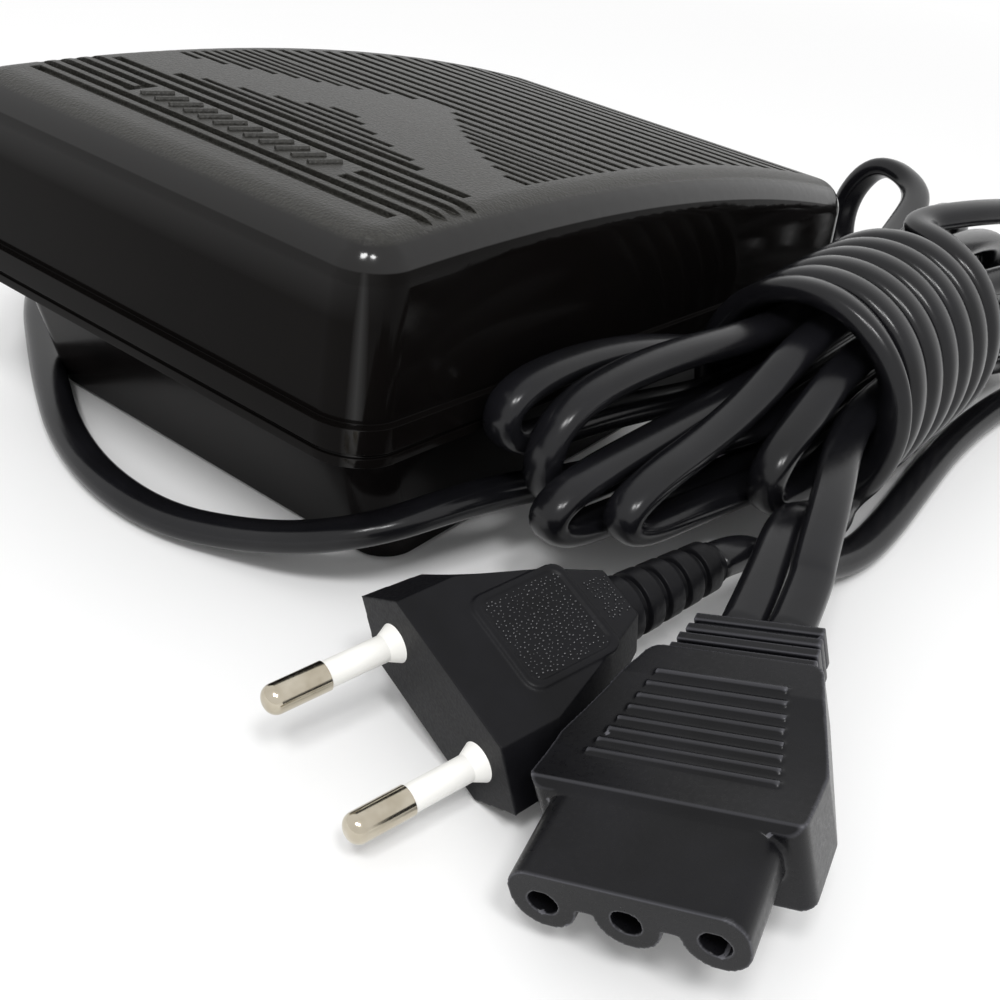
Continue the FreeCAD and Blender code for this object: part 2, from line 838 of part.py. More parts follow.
def triac():
    """Tab against the heat sink, the moulded case on it, and three legs down to the board."""
    z0 = board_top()
    low = z0 + triac_lift
    back = triac_y - triac_back
    front = back + triac_tab_thick
    left = triac_x - triac_half_width
    right = triac_x + triac_half_width
    tab = box(left, right, back, front, low, low + triac_tab_height)
    hole = (triac_x, back - 1, z0 + triac_screw_height)
    tab = tab.cut(rod(hole, (0, 1, 0), triac_screw_radius + 0.2, triac_tab_thick + 2))
    case = box(left, right, front, front + triac_case_thick, low, low + triac_case_height)
    legs = []
    for n in range(3):
        x = triac_x - triac_leg_offset + triac_leg_pitch * n
        y = front + (triac_case_thick - triac_leg_thick) / 2 + 0.1
        legs.append(box(x, x + triac_leg_width, y, y + triac_leg_thick, z0, low))
    return joined([tab, case] + legs)


def triac_screw():
    z = board_top() + triac_screw_height
    root = triac_y - triac_back - sink_back_thick
    seat = triac_y - triac_back + triac_tab_thick + 0.2
    shank = rod((triac_x, root, z), (0, 1, 0), triac_screw_radius, seat - root)
    head = rod((triac_x, seat, z), (0, 1, 0), 2.4, 1.8)
    slot = box(triac_x - 3, triac_x + 3, seat + 1, seat + 2.6, z - 0.35, z + 0.35)
    return shank.fuse(head).cut(slot)


def suppression_capacitor():
    z0 = board_top()
    body = rounded_block(suppressor_x - suppressor_half_width, suppressor_x + suppressor_half_width,
                         suppressor_y - suppressor_half_length, suppressor_y + suppressor_half_length,
                         z0 + component_lift, z0 + suppressor_top, 1.2)
    legs = [rod((suppressor_x, suppressor_y + y, z0), (0, 0, 1), 0.4, 1.0)
            for y in (-suppressor_leg_offset, suppressor_leg_offset)]
    return joined([body] + legs)


def timing_capacitor():
    z0 = board_top()
    body = rounded_block(timing_x - timing_half_width, timing_x + timing_half_width,
                         timing_y - timing_half_thick, timing_y + timing_half_thick,
                         z0 + component_lift, z0 + timing_top, 0.8)
    legs = [rod((timing_x + x, timing_y, z0), (0, 0, 1), 0.35, 1.0)
            for x in (-timing_leg_offset, timing_leg_offset)]
    return joined([body] + legs)


def resistors():
    z0 = board_top()
    made = []
    radius = resistor_lead_radius
    for n in range(resistor_count):
        y = resistor_first_y + resistor_pitch * n
        z = z0 + resistor_height
        body = rod((resistor_x, y, z), (1, 0, 0), resistor_radius, resistor_length)
        leads = rod((resistor_lead_x, y, z), (1, 0, 0), radius, resistor_lead_length)
        ends = (resistor_lead_x + radius, resistor_lead_x + resistor_lead_length - radius)
        legs = [rod((x, y, z0), (0, 0, 1), radius, resistor_height + radius) for x in ends]
        made.append(joined([body, leads] + legs))
    return group(made)


def choke_core():
    z = board_top() + choke_height
    flanges = [rod((choke_x, y, z), (0, 1, 0), choke_flange_radius, choke_flange_thick)
               for y in (choke_y, choke_y + choke_length - choke_flange_thick)]
    core = rod((choke_x, choke_y, z), (0, 1, 0), choke_core_radius, choke_length)
    return joined([core] + flanges)


def choke_winding():
    """Copper winding as a sleeve with one rounded ridge for each turn."""
    margin = choke_flange_thick + winding_gap
    start = choke_y + margin
    pitch = (choke_length - 2 * margin) / choke_turns
    bore = choke_core_radius + winding_gap
    points = [V(0, start, bore), V(0, start, winding_base_radius)]
    edges = [Part.makeLine(points[0], points[1])]
    last = points[1]
    for n in range(choke_turns):
        middle = V(0, start + pitch * (n + 0.5), winding_ridge_radius)
        end = V(0, start + pitch * (n + 1), winding_base_radius)
        edges.append(Part.Arc(last, middle, end).toShape())
        last = end
    edges.append(Part.makeLine(last, V(0, last.y, bore)))
    edges.append(Part.makeLine(V(0, last.y, bore), points[0]))
    face = Part.Face(Part.Wire(edges))
    winding = face.revolve(V(0, 0, 0), V(0, 1, 0), 360)
    winding.translate(V(choke_x, 0, board_top() + choke_height))
    return winding


def terminal_block():
    z0 = base_top_floor()
    body = box(block_x - block_half_x, block_x + block_half_x, block_y - block_half_y,
               block_y + block_half_y, z0, z0 + 8.5)
    posts = [rod((block_x + x, block_y, z0 + 8), (0, 0, 1), 2.2, 3.2) for x in (-block_port_x, block_port_x)]
    body = joined([body] + posts)
    for x in (-block_port_x, block_port_x):
        body = body.cut(rod((block_x + x, block_y, z0 + 5.2), (0, 0, 1), 1.5, 8))
        body = body.cut(rod((block_x + x, block_y - block_half_y - 1, z0 + block_port_z), (0, 1, 0),
                            core_radius + 0.2, 2 * block_half_y + 2))
    return body


def terminal_screws():
    z0 = base_top_floor()
    screws = []
    for x in (-block_port_x, block_port_x):
        body = rod((block_x + x, block_y, z0 + 5.4), (0, 0, 1), 1.4, 4.6)
        slot = box(block_x + x - 2, block_x + x + 2, block_y - 0.3, block_y + 0.3, z0 + 9.4, z0 + 11)
        screws.append(body.cut(slot))
    return group(screws)


def cord_clamp():
    z0 = entry_z
    low, high = clamp_post_ys()
    bar = rounded_block(clamp_x - clamp_post_radius, clamp_x + clamp_post_radius, low - 3, high + 3,
                        z0, z0 + clamp_bar_height, 1.5)
    groove = rod((clamp_x - 4, entry_y, entry_z), (1, 0, 0), cord_diameter / 2 + 0.1, 8)
    bar = bar.cut(groove)
    for y in (low, high):
        bar = bar.cut(rod((clamp_x, y, z0 - 1), (0, 0, 1), board_screw_radius + 0.15, 8))
    return bar


def clamp_screws():
    return group([pan_screw(clamp_x, y, entry_z + clamp_bar_height, clamp_screw_length)
                  for y in clamp_post_ys()])


# Routes made of straight runs joined by tangent arcs

def rounded_route(points, name, report=True):
    spots = [V(*p) for p in points]
    count = len(spots)
    runs = [(spots[i + 1] - spots[i]).Length for i in range(count - 1)]
    edges = []
    radii = []
    last = spots[0]
    for i in range(1, count - 1):
        back = (spots[i - 1] - spots[i]).normalize()
        ahead = (spots[i + 1] - spots[i]).normalize()
        half_turn = (math.pi - back.getAngle(ahead)) / 2
        setback = 0.45 * min(runs[i - 1], runs[i])
        radius = setback / math.tan(half_turn)
        radii.append(radius)
        start = spots[i] + back * setback
        end = spots[i] + ahead * setback
        middle_way = (back + ahead).normalize()
        to_centre = radius / math.cos(half_turn)
        middle = spots[i] + middle_way * (to_centre - radius)
        edges.append(Part.makeLine(last, start))
        edges.append(Part.Arc(start, middle, end).toShape())
        last = end
    edges.append(Part.makeLine(last, spots[-1]))
    if report:
        print(name, "radii", [round(r) for r in radii])
    return Part.Wire(edges)


def tube(path, diameter, name):
    first = path.Edges[0]
    start = first.valueAt(first.FirstParameter)
    heading = first.tangentAt(first.FirstParameter)
    ring = Part.Wire([Part.Circle(start, heading, diameter / 2).toShape()])
    solid = path.makePipeShell([ring], True, False)
    expected = math.pi * diameter ** 2 / 4 * path.Length
    share = solid.Volume / expected
    print(name, "length", round(path.Length, 1), "volume share", round(share, 4), solid.isValid())
    return solid


def least_gap(path, diameter, name, step=2.0):
    """Least gap of a tube to itself, measured between points along its middle line."""
    spots = path.discretize(Distance=step)
    skip = int(2.5 * diameter / step) + 2
    closest = 1e9
    for i in range(len(spots)):
        for j in range(i + skip, len(spots)):
            d = (spots[i] - spots[j]).Length
            if d < closest:
                closest = d
    print(name, "least gap to itself", round(closest - diameter, 2))


# Fixed lead inside the base

def cord_gland():
    """Moulded strain relief seated in the wall, tapering along the lead."""
    wall_out = base_half_width + base_side_taper * entry_z
    wall_in = wall_out - base_wall
    gap = gland_wall_gap
    lip = wall_in - gland_inner_lip
    points = [(lip, 0), (lip, gland_inner_radius), (wall_in - gap, gland_inner_radius)]
    points += [(wall_in - gap, gland_neck_radius), (wall_out + gap, gland_neck_radius)]
    points += [(wall_out + gap, gland_flange_radius), (wall_out + gland_flange, gland_inner_radius)]
    length = entry_x() - wall_out - gland_flange
    rings = 4
    for n in range(rings):
        start = wall_out + gland_flange + length * n / rings
        radius = gland_root_radius + (gland_tip_radius - gland_root_radius) * n / rings
        points += [(start + 0.2, radius), (start + length / rings * 0.7, radius - 0.15)]
        if n < rings - 1:
            points += [(start + length / rings * 0.75, radius - 0.7), (start + length / rings, radius - 0.7)]
    points += [(entry_x(), gland_tip_radius - 0.3), (entry_x(), 0)]
    corners = [V(x, 0, r) for x, r in points]
    face = Part.Face(Part.makePolygon(corners + corners[:1]))
    gland = face.revolve(V(0, 0, 0), V(1, 0, 0), 360)
    gland.translate(V(0, entry_y, entry_z))
    return gland


def entry_x():
    return base_half_width + base_side_taper * entry_z + gland_length


def inner_lead():
    inner_end = base_half_width + base_side_taper * entry_z - base_wall - gland_inner_lip
    return rod((sheath_end_x, entry_y, entry_z), (1, 0, 0), cord_diameter / 2, inner_end - sheath_end_x)


def lead_cores():
    z = base_top_floor() + block_port_z
    toe = block_y + block_half_y
    x_far = block_x + block_port_x
    x_near = block_x - block_port_x
    first = [(sheath_end_x, entry_y - 1.2, entry_z), (sheath_end_x - 1.4, entry_y - 1.2, entry_z),
             (x_far - 0.3, entry_y - 4.2, entry_z - 0.4), (x_far, toe + 5.0, z), (x_far, toe - 2.0, z)]
    second = [(sheath_end_x, entry_y + 1.2, entry_z), (sheath_end_x - 2.2, entry_y + 1.2, entry_z),
              (x_near + 0.4, entry_y - 1.8, entry_z - 0.4), (x_near, toe + 6.0, z), (x_near, toe - 2.0, z)]
    return group([tube(rounded_route(p, "core", False), 2 * core_radius, "core") for p in (first, second)])


def board_wires():
    z = base_top_floor() + block_port_z
    heel = block_y - block_half_y
    top = board_top()
    x_far = block_x + block_port_x
    x_near = block_x - block_port_x
    land = board_half_width - 1.7
    first = [(x_near, heel + 2, z), (x_near, heel - 5.0, z + 0.4), (x_near - 2.2, heel - 6.5, top + 2.7),
             (land, heel + 0.8, top + 4.0), (land, heel + 0.8, top)]
    second = [(x_far, heel + 2, z), (x_far + 0.1, heel - 7.0, z + 0.8),
              (x_near + 0.3, heel - 10.0, top + 4.8), (land - 0.2, heel + 8.0, top + 5.0),
              (land - 0.2, heel + 8.0, top)]
    return group([tube(rounded_route(p, "wire", False), 2 * core_radius, "wire") for p in (first, second)])


# Fittings on the two leads, drawn with their front at Y zero and turned into place

def plug_pose():
    return plug_origin + (plug_axis_z,), (plug_yaw_deg, plug_pitch_deg, plug_roll_deg)


def connector_pose():
    return connector_origin + (connector_hole_z,), (connector_yaw_deg, connector_pitch_deg,
                                                    connector_roll_deg)


def placed(shape, pose):
    """Roll about the length, then pitch, then turn on the floor plane and move."""
    spot, (yaw, pitch, roll) = pose
    shape.rotate(V(0, 0, 0), V(0, 1, 0), roll)
    shape.rotate(V(0, 0, 0), V(1, 0, 0), pitch)
    shape.rotate(V(0, 0, 0), V(0, 0, 1), -yaw)
    shape.translate(V(*spot))
    return shape


def placed_point(x, y, z, pose):
    point = placed(Part.Vertex(x, y, z), pose).Point
    return (point.x, point.y, point.z)


def hexagon(y, half_width, flat_half, half_thick):
    points = [V(-half_width, y, 0), V(-flat_half, y, half_thick), V(flat_half, y, half_thick),
              V(half_width, y, 0), V(flat_half, y, -half_thick), V(-flat_half, y, -half_thick)]
    return Part.makePolygon(points + points[:1])


def plug_body():
    """Moulded body with a long six-sided face, narrowing to the neck."""
    sections = [hexagon(0, plug_half_width, plug_flat_half, plug_half_thick),
                hexagon(-9.0, plug_half_width * 0.97, plug_flat_half, plug_half_thick),
                hexagon(-plug_body_length * 0.72, plug_half_width * 0.62, plug_flat_half * 0.62,
                        plug_half_thick),
                hexagon(-plug_body_length, plug_neck_half, plug_neck_half * 0.6, plug_half_thick * 0.82)]
    body = Part.makeLoft(sections, True, True)
    front = -plug_pad_from_front
    back = front - plug_pad_length
    pad = rounded_block(-plug_pad_half_width, plug_pad_half_width, back, front,
                        plug_half_thick - plug_pad_proud, plug_half_thick + plug_pad_proud, 2.0)
    dish_half = plug_pad_half_width - plug_pad_rim
    dish = rounded_block(-dish_half, dish_half, back + plug_pad_rim_ends, front - plug_pad_rim_ends,
                         plug_half_thick + 0.1, plug_half_thick + 2, 1.6)
    body = body.fuse(pad.cut(dish))
    for x in (-pin_spacing / 2, pin_spacing / 2):
        body = body.cut(rod((x, -3, 0), (0, 1, 0), pin_core_radius + 0.02, 4))
    return placed(body, plug_pose())


def plug_pins():
    pins = []
    for x in (-pin_spacing / 2, pin_spacing / 2):
        core = rod((x, -3, 0), (0, 1, 0), pin_core_radius, sleeve_length + 3)
        metal = rod((x, sleeve_length, 0), (0, 1, 0), pin_radius, pin_length - sleeve_length)
        tip = [e for e in metal.Edges if abs(e.CenterOfMass.y - pin_length) < 0.01]
        pins.append(core.fuse(metal.makeFillet(pin_radius * 0.8, tip)).removeSplitter())
    return placed(group(pins), plug_pose())


def pin_sleeves():
    sleeves = []
    for x in (-pin_spacing / 2, pin_spacing / 2):
        body = rod((x, 0, 0), (0, 1, 0), sleeve_radius, sleeve_length)
        flare = Part.makeCone(sleeve_radius + sleeve_flare, sleeve_radius, 1.8, V(x, 0, 0), V(0, 1, 0))
        bore = rod((x, -1, 0), (0, 1, 0), pin_core_radius + 0.02, sleeve_length + 2)
        sleeves.append(body.fuse(flare).cut(bore).removeSplitter())
    return placed(group(sleeves), plug_pose())


def ribbed_relief(start, length, root, tip, ribs):
    """Tapered relief with square ribs, running from start towards -Y."""
    step = length / ribs
    points = [(start, 0), (start, root)]
    for n in range(ribs):
        radius = root + (tip - root) * n / ribs
        points += [(start - step * n - step * 0.62, radius - 0.1)]
        points += [(start - step * n - step * 0.68, radius - 0.9)]
        points += [(start - step * (n + 1) + step * 0.06, radius - 1.0)]
        if n < ribs - 1:
            points += [(start - step * (n + 1), root + (tip - root) * (n + 1) / ribs)]
    points += [(start - length, tip - 0.5), (start - length, 0)]
    corners = [V(0, y, r) for y, r in points]
    face = Part.Face(Part.makePolygon(corners + corners[:1]))
    return face.revolve(V(0, 0, 0), V(0, 1, 0), 360)


def plug_strain_relief():
    relief = ribbed_relief(-plug_body_length, plug_relief_length, relief_root_radius, relief_tip_radius,
                           relief_rib_count)
    return placed(relief, plug_pose())


def connector_nose():
    upper = box(-nose_half_width, nose_half_width, -nose_length, 0, 0, nose_top)
    along = [e for e in upper.Edges if abs(e.tangentAt(e.FirstParameter).y) > 0.9]
    corners = [e for e in along if e.CenterOfMass.z > 1]
    upper = upper.makeFillet(nose_corner, corners)
    lobes = [rod((hole_pitch * n, -nose_length, 0), (0, 1, 0), lobe_radius, nose_length) for n in (-1, 0, 1)]
    return joined([upper] + lobes)


def connector_body():
    """Three-hole socket body with a lobed nose and a ridged thumb grip."""
    y0 = -nose_length
    y1 = y0 - connector_body_length
    bend = y0 - connector_body_length * connector_bend_share
    plan = [(-connector_half_width, y0), (connector_half_width, y0), (connector_half_width, bend),
            (connector_waist_half, y1), (-connector_waist_half, y1), (-connector_half_width, bend)]
    body = polygon_xy(plan, connector_bottom, connector_top)
    side = [(y0, connector_bottom), (y0, connector_top - connector_front_bevel),
            (y0 - connector_front_bevel, connector_top)]
    side += [(y1, connector_top - connector_slope), (y1, connector_bottom + connector_slope),
             (bend, connector_bottom)]
    body = body.common(polygon_yz(side, -connector_half_width - 1, connector_half_width + 1))
    upright = [e for e in body.Edges if abs(e.tangentAt(e.FirstParameter).z) > 0.9]
    body = body.makeFillet(connector_corner, upright)
    dish_y = y0 - dish_from_front
    dish_low = connector_top - connector_slope * dish_from_front / connector_body_length - dish_depth
    dish_z = dish_low + dish_radius
    dish = rod((-connector_half_width, dish_y, dish_z), (1, 0, 0), dish_radius, 2 * connector_half_width)
    body = body.cut(dish)
    ridges = []
    for n in range(ridge_count):
        y = y0 - ridge_from_front - ridge_pitch * n
        half = ridge_half_length - ridge_taper * n
        z = dish_z - math.sqrt(dish_radius ** 2 - (y - dish_y) ** 2)
        ridges.append(rod((-half, y, z), (1, 0, 0), ridge_radius, 2 * half))
    body = joined([connector_nose(), body] + ridges)
    for n in (-1, 0, 1):
        body = body.cut(rod((hole_pitch * n, -hole_depth, 0), (0, 1, 0), hole_radius, hole_depth + 1))
    return placed(body, connector_pose())


def connector_contacts():
    contacts = []
    for n in (-1, 0, 1):
        length = hole_depth - contact_recess
        outer = rod((hole_pitch * n, -hole_depth + 0.02, 0), (0, 1, 0), hole_radius - 0.05, length)
        bore = rod((hole_pitch * n, -hole_depth + 1.0, 0), (0, 1, 0), hole_radius - 0.05 - contact_wall,
                   length)
        contacts.append(outer.cut(bore))
    return placed(group(contacts), connector_pose())


def collar_centre_z():
    return (collar_top + collar_bottom) / 2


def connector_collar():
    """Ribbed relief of flat plates where both leads enter."""
    start = -nose_length - connector_body_length
    end = start - connector_collar_length
    inset = 1.6
    core = rounded_block(-collar_half_width + inset, collar_half_width - inset, end, start,
                         collar_bottom + inset, collar_top - inset, 0.6)
    step = connector_collar_length / collar_plate_count
    plates = []
    for n in range(collar_plate_count):
        y = start - 0.8 - step * n
        grow = 0.3 * n
        plates.append(box(-collar_half_width + grow, collar_half_width - grow, y - step * 0.6, y,
                          collar_bottom + grow, collar_top - grow))
    return placed(joined([core] + plates), connector_pose())


# Free stretch of the pedal lead from the gland round the toe to the folded part
pedal_lead_points = [
    (71.5, 20.0, 9.0), (81.0, 29.0, 4.2), (77.5, 43.5, 3.0), (65.5, 53.5, 3.1), (51.0, 62.5, 3.0),
    (35.5, 71.6, 3.1), (19.0, 78.2, 3.0), (3.0, 81.2, 3.1), (-11.0, 80.6, 3.2), (-24.2, 77.2, 4.6),
    (-35.4, 73.9, 8.6), (-44.6, 67.8, 12.4), (-48.3, 56.2, 13.3), (-51.0, 46.0, 13.0)]

# Free stretch of the mains lead from the plug, then low along the outside of the bundle
mains_lead_points = [(-87.4, 26.5, 10.2), (-90.8, 15.5, 4.7)]
mains_low_points = [(-93.2, 4.0, 3.1), (-93.0, -9.0, 3.0), (-91.2, -27.0, 3.1), (-89.4, -46.0, 3.0),
                    (-89.6, -66.0, 3.1)]

# Toe folds of both leads from the upper leg to the lower leg, and heel folds from lower to upper
toe_folds = [
    [(-53.2, 24.0, 31.5), (-51.4, 51.0, 32.5), (-51.4, 50.5, 22.0), (-54.2, 28.0, 21.2)],
    [(-59.8, 26.0, 32.2), (-57.8, 48.0, 29.5), (-57.8, 48.0, 14.0), (-61.0, 27.0, 14.5)],
    [(-66.6, 24.0, 23.0), (-64.0, 54.5, 21.5), (-64.0, 53.5, 13.4), (-67.2, 28.0, 11.6)],
    [(-73.2, 19.0, 25.0), (-71.2, 46.0, 20.8), (-71.2, 45.0, 13.6), (-74.2, 24.0, 12.6)],
    [(-80.8, 8.0, 26.5), (-81.3, 21.0, 21.4), (-81.3, 20.0, 13.4), (-83.4, 8.0, 13.2)]]
heel_folds = [
    [(-55.4, -79.0, 7.4), (-38.0, -101.0, 8.0), (-33.5, -104.0, 22.0), (-40.0, -104.0, 34.0),
     (-53.0, -100.0, 31.0), (-57.0, -78.0, 27.5)],
    [(-62.5, -80.0, 15.5), (-60.0, -108.0, 6.0), (-60.0, -108.0, 27.0), (-62.5, -82.0, 32.5)],
    [(-69.5, -78.0, 9.0), (-66.5, -103.0, 5.0), (-66.5, -103.0, 24.0), (-68.5, -80.0, 25.0)],
    [(-74.5, -78.0, 4.2), (-73.0, -98.0, 3.2), (-73.0, -98.0, 27.0), (-72.5, -76.0, 32.0)],
    [(-80.5, -76.0, 4.5), (-79.5, -94.0, 3.2), (-79.5, -94.0, 20.0), (-82.0, -74.0, 22.5)],
    [(-92.5, -88.0, 3.2), (-92.5, -88.0, 28.0), (-88.0, -72.0, 32.0)],
    [(-86.0, -78.0, 9.0), (-86.0, -101.0, 4.0), (-86.0, -101.0, 33.0), (-80.0, -84.0, 39.0)]]

# From the last fold over the top of the bundle to the first wrap
wrap_lead_in = [(-73.5, -68.0, 40.0), (-66.5, -54.0, 38.6)]

# Where the folded parts run on to the machine connector
pedal_tail_points = [(-87.8, 10.0, 23.2), (-93.4, 25.0, 22.9), (-98.2, 39.0, 20.4)]
mains_tail_points = [(-88.8, 6.5, 7.6), (-88.2, 16.0, 13.6), (-88.9, 28.0, 18.2)]


def ring_place(angle_deg):
    """A strand's place on the ring of strands, seen along the bundle."""
    angle = math.radians(angle_deg)
    return (waist_centre_x + waist_half_width * math.cos(angle),
            waist_centre_z + waist_half_height * math.sin(angle))


def inner_place(angle_deg):
    """A place inside the ring, nearer to the middle."""
    angle = math.radians(angle_deg)
    return (waist_centre_x + waist_half_width * inner_share * math.cos(angle),
            waist_centre_z + waist_half_height * inner_share * math.sin(angle))


def through_waist(place, to_heel):
    x, z = place
    middle = (waist_toe_y + waist_heel_y) / 2
    points = [(x, waist_toe_y, z), (x + 0.2, middle, z + 0.3), (x, waist_heel_y, z)]
    return points if to_heel else points[::-1]


def half_way(a, b):
    return tuple((a[n] + b[n]) / 2 for n in range(3))


def pedal_fold_points():
    """Five folds of the pedal lead, which then passes out on the far side."""
    low = [ring_place(-45), ring_place(-15), inner_place(-80), ring_place(-85), ring_place(-120)]
    high = [ring_place(20), ring_place(55), inner_place(35), ring_place(92), ring_place(172)]
    points = [(-53.0, 34.5, 10.5), (-58.0, 17.0, 9.3)]
    for n in range(len(low)):
        points += through_waist(low[n], True) + heel_folds[n] + through_waist(high[n], False)
        if n + 1 < len(low):
            points += toe_folds[n]
    return points


def mains_fold_points():
    """The mains lead comes in low on the outside, folds once and ends above the waist."""
    points = mains_low_points + heel_folds[-2] + through_waist(ring_place(130), False)
    return points + toe_folds[-1] + through_waist(ring_place(-152), True) + heel_folds[-1]


def wrap_spot(number):
    angle = math.radians(90 + (number + 0.5) * 360 / wrap_corners)
    grow = 1 / math.cos(math.pi / wrap_corners)
    x = waist_centre_x + wrap_half_width * grow * math.cos(angle)
    z = waist_centre_z + wrap_half_height * grow * math.sin(angle)
    return (x, waist_heel_y + 4.0 + wrap_pitch * number / wrap_corners, z)


def lead_entry(side):
    back = -nose_length - connector_body_length - connector_collar_length
    return [placed_point(side * lead_spread, back - reach, collar_centre_z(), connector_pose())
            for reach in (12, 0)]


def cord_routes():
    """Each lead as a run of stretches that meet half way between two points."""
    plug_back = -plug_body_length - plug_relief_length
    plug_end = [placed_point(0, plug_back - reach, 0, plug_pose()) for reach in (0, 5.5)]
    turns = [wrap_spot(n) for n in range(wrap_turns * wrap_corners + 5)]
    pedal = [("pedal_lead", [(entry_x(), entry_y, entry_z)] + pedal_lead_points),
             ("pedal_lead_folds", pedal_fold_points()),
             ("pedal_lead_end", pedal_tail_points + lead_entry(-1))]
    mains = [("mains_lead", plug_end + mains_lead_points),
             ("mains_lead_folds", mains_fold_points()),
             ("mains_lead_wraps", wrap_lead_in + turns),
             ("mains_lead_end", mains_tail_points + lead_entry(1))]
    routes = {}
    for stretches in (pedal, mains):
        for n, (name, points) in enumerate(stretches):
            start = [half_way(stretches[n - 1][1][-1], points[0])] if n else []
            end = [half_way(points[-1], stretches[n + 1][1][0])] if n + 1 < len(stretches) else []
            routes[name] = start + points + end
    return routes


def build_parts():
    os.makedirs("parts", exist_ok=True)
    save(treadle_cover(), "treadle_cover")
    save(base_tub(), "base_tub")
    save(rubber_feet(), "rubber_feet")
    save(hinge_pin(), "hinge_pin")
    save(pin_clips(), "pin_clips")
    save(return_spring(-1), "return_spring_left")
    save(return_spring(1), "return_spring_right")
    save(circuit_board(), "circuit_board")
    save(board_screws(), "board_screws")
    save(potentiometer_case(), "potentiometer_case")
    save(potentiometer_slider(), "potentiometer_slider")
    save(lever_bracket(), "lever_bracket")
    save(lever_pivot_pin(), "lever_pivot_pin")
    save(drive_lever(), "drive_lever")
    save(heat_sink(), "heat_sink")
    save(triac(), "triac")
    save(triac_screw(), "triac_screw")
    save(suppression_capacitor(), "suppression_capacitor")
    save(timing_capacitor(), "timing_capacitor")
    save(resistors(), "resistors")
    save(choke_core(), "choke_core")
    save(choke_winding(), "choke_winding")
    save(terminal_block(), "terminal_block")
    save(terminal_screws(), "terminal_screws")
    save(cord_clamp(), "cord_clamp")
    save(clamp_screws(), "clamp_screws")
    save(cord_gland(), "cord_gland")
    save(inner_lead(), "inner_lead")
    save(lead_cores(), "lead_cores")
    save(board_wires(), "board_wires")
    save(plug_body(), "plug_body")
    save(plug_pins(), "plug_pins")
    save(pin_sleeves(), "pin_sleeves")
    save(plug_strain_relief(), "plug_strain_relief")
    save(connector_body(), "connector_body")
    save(connector_contacts(), "connector_contacts")
    save(connector_collar(), "connector_collar")
    for name, points in cord_routes().items():
        path = rounded_route(points, name)
        save(tube(path, cord_diameter, name), name)
        if "folds" in name or "wraps" in name:
            least_gap(path, cord_diameter, name)


build_parts()
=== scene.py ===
# %% [markdown]
# # A foot control for a sewing machine
# This lesson dresses the imported model of a foot control: a ribbed treadle hinged on a wedge of a base, with
# its lead, its mains plug and its three-hole connector folded up beside it. The model's own solids give the
# shapes and places, so the first step only loads them and counts them.

# %% Load the model
import math
import bpy
import bmesh
from mathutils import Matrix, Vector


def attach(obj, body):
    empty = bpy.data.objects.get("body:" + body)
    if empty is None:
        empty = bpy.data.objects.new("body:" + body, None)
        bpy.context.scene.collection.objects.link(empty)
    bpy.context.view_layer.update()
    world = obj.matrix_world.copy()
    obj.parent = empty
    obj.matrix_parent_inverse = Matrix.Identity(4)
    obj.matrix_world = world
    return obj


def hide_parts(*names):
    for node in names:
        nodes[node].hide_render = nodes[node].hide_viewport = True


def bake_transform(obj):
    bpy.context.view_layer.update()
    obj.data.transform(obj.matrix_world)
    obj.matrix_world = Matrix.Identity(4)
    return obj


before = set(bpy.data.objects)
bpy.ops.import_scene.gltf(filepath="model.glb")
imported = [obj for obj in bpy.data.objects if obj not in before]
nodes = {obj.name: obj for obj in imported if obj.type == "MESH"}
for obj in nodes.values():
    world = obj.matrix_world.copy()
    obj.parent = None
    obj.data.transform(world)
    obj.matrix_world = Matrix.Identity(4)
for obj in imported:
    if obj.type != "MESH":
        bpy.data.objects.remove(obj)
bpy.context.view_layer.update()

MM = 0.001
print(len(nodes), "nodes loaded")

# %% [markdown]
# ## Two helpers
# Hex colours are what the eye reads off a screen, and shaders want linear light, so one function turns the
# first into the second. Node trees, for shaders and for geometry alike, are built with one helper that adds
# a node with its settings and fills its inputs, by name or in their order, with values and links.

# %% Colour and node helpers


def linear(hex_colour, alpha=1.0):
    parts = [int(hex_colour[i:i + 2], 16) / 255 for i in (1, 3, 5)]
    light = [c / 12.92 if c <= 0.04045 else ((c + 0.055) / 1.055) ** 2.4 for c in parts]
    return (*light, alpha)


def fill(tree, node, inputs):
    """Set or link a node's inputs, given by name in a dictionary or in their order in a list."""
    for name, value in inputs.items() if isinstance(inputs, dict) else enumerate(inputs):
        if isinstance(value, bpy.types.NodeSocket):
            tree.links.new(value, node.inputs[name])
        else:
            node.inputs[name].default_value = value
    return node


def add(tree, kind, inputs=(), **settings):
    node = tree.nodes.new(kind)
    for name, value in settings.items():
        setattr(node, name, value)
    return fill(tree, node, inputs)


print("middle grey in linear light", round(linear("#808080")[0], 3))

# %% [markdown]
# ## Camera
# The photograph was taken from above the toe corner, close to the pedal. The camera's place comes from
# matching known points of the plug and the cover, and its roll tips the picture a little to one side.
# Building its matrix from three directions keeps the roll apart from the aim, which a tracking constraint
# wouldn't.

# %% Camera
CAMERA_PLACE = Vector((-146.0, 189.4, 120.6)) * MM
CAMERA_YAW = 2.551
CAMERA_PITCH_DOWN = 0.568
CAMERA_ROLL = 0.143
FOCAL_PIXELS = 1317.85
IMAGE_PIXELS = 1000
SENSOR_MM = 36.0


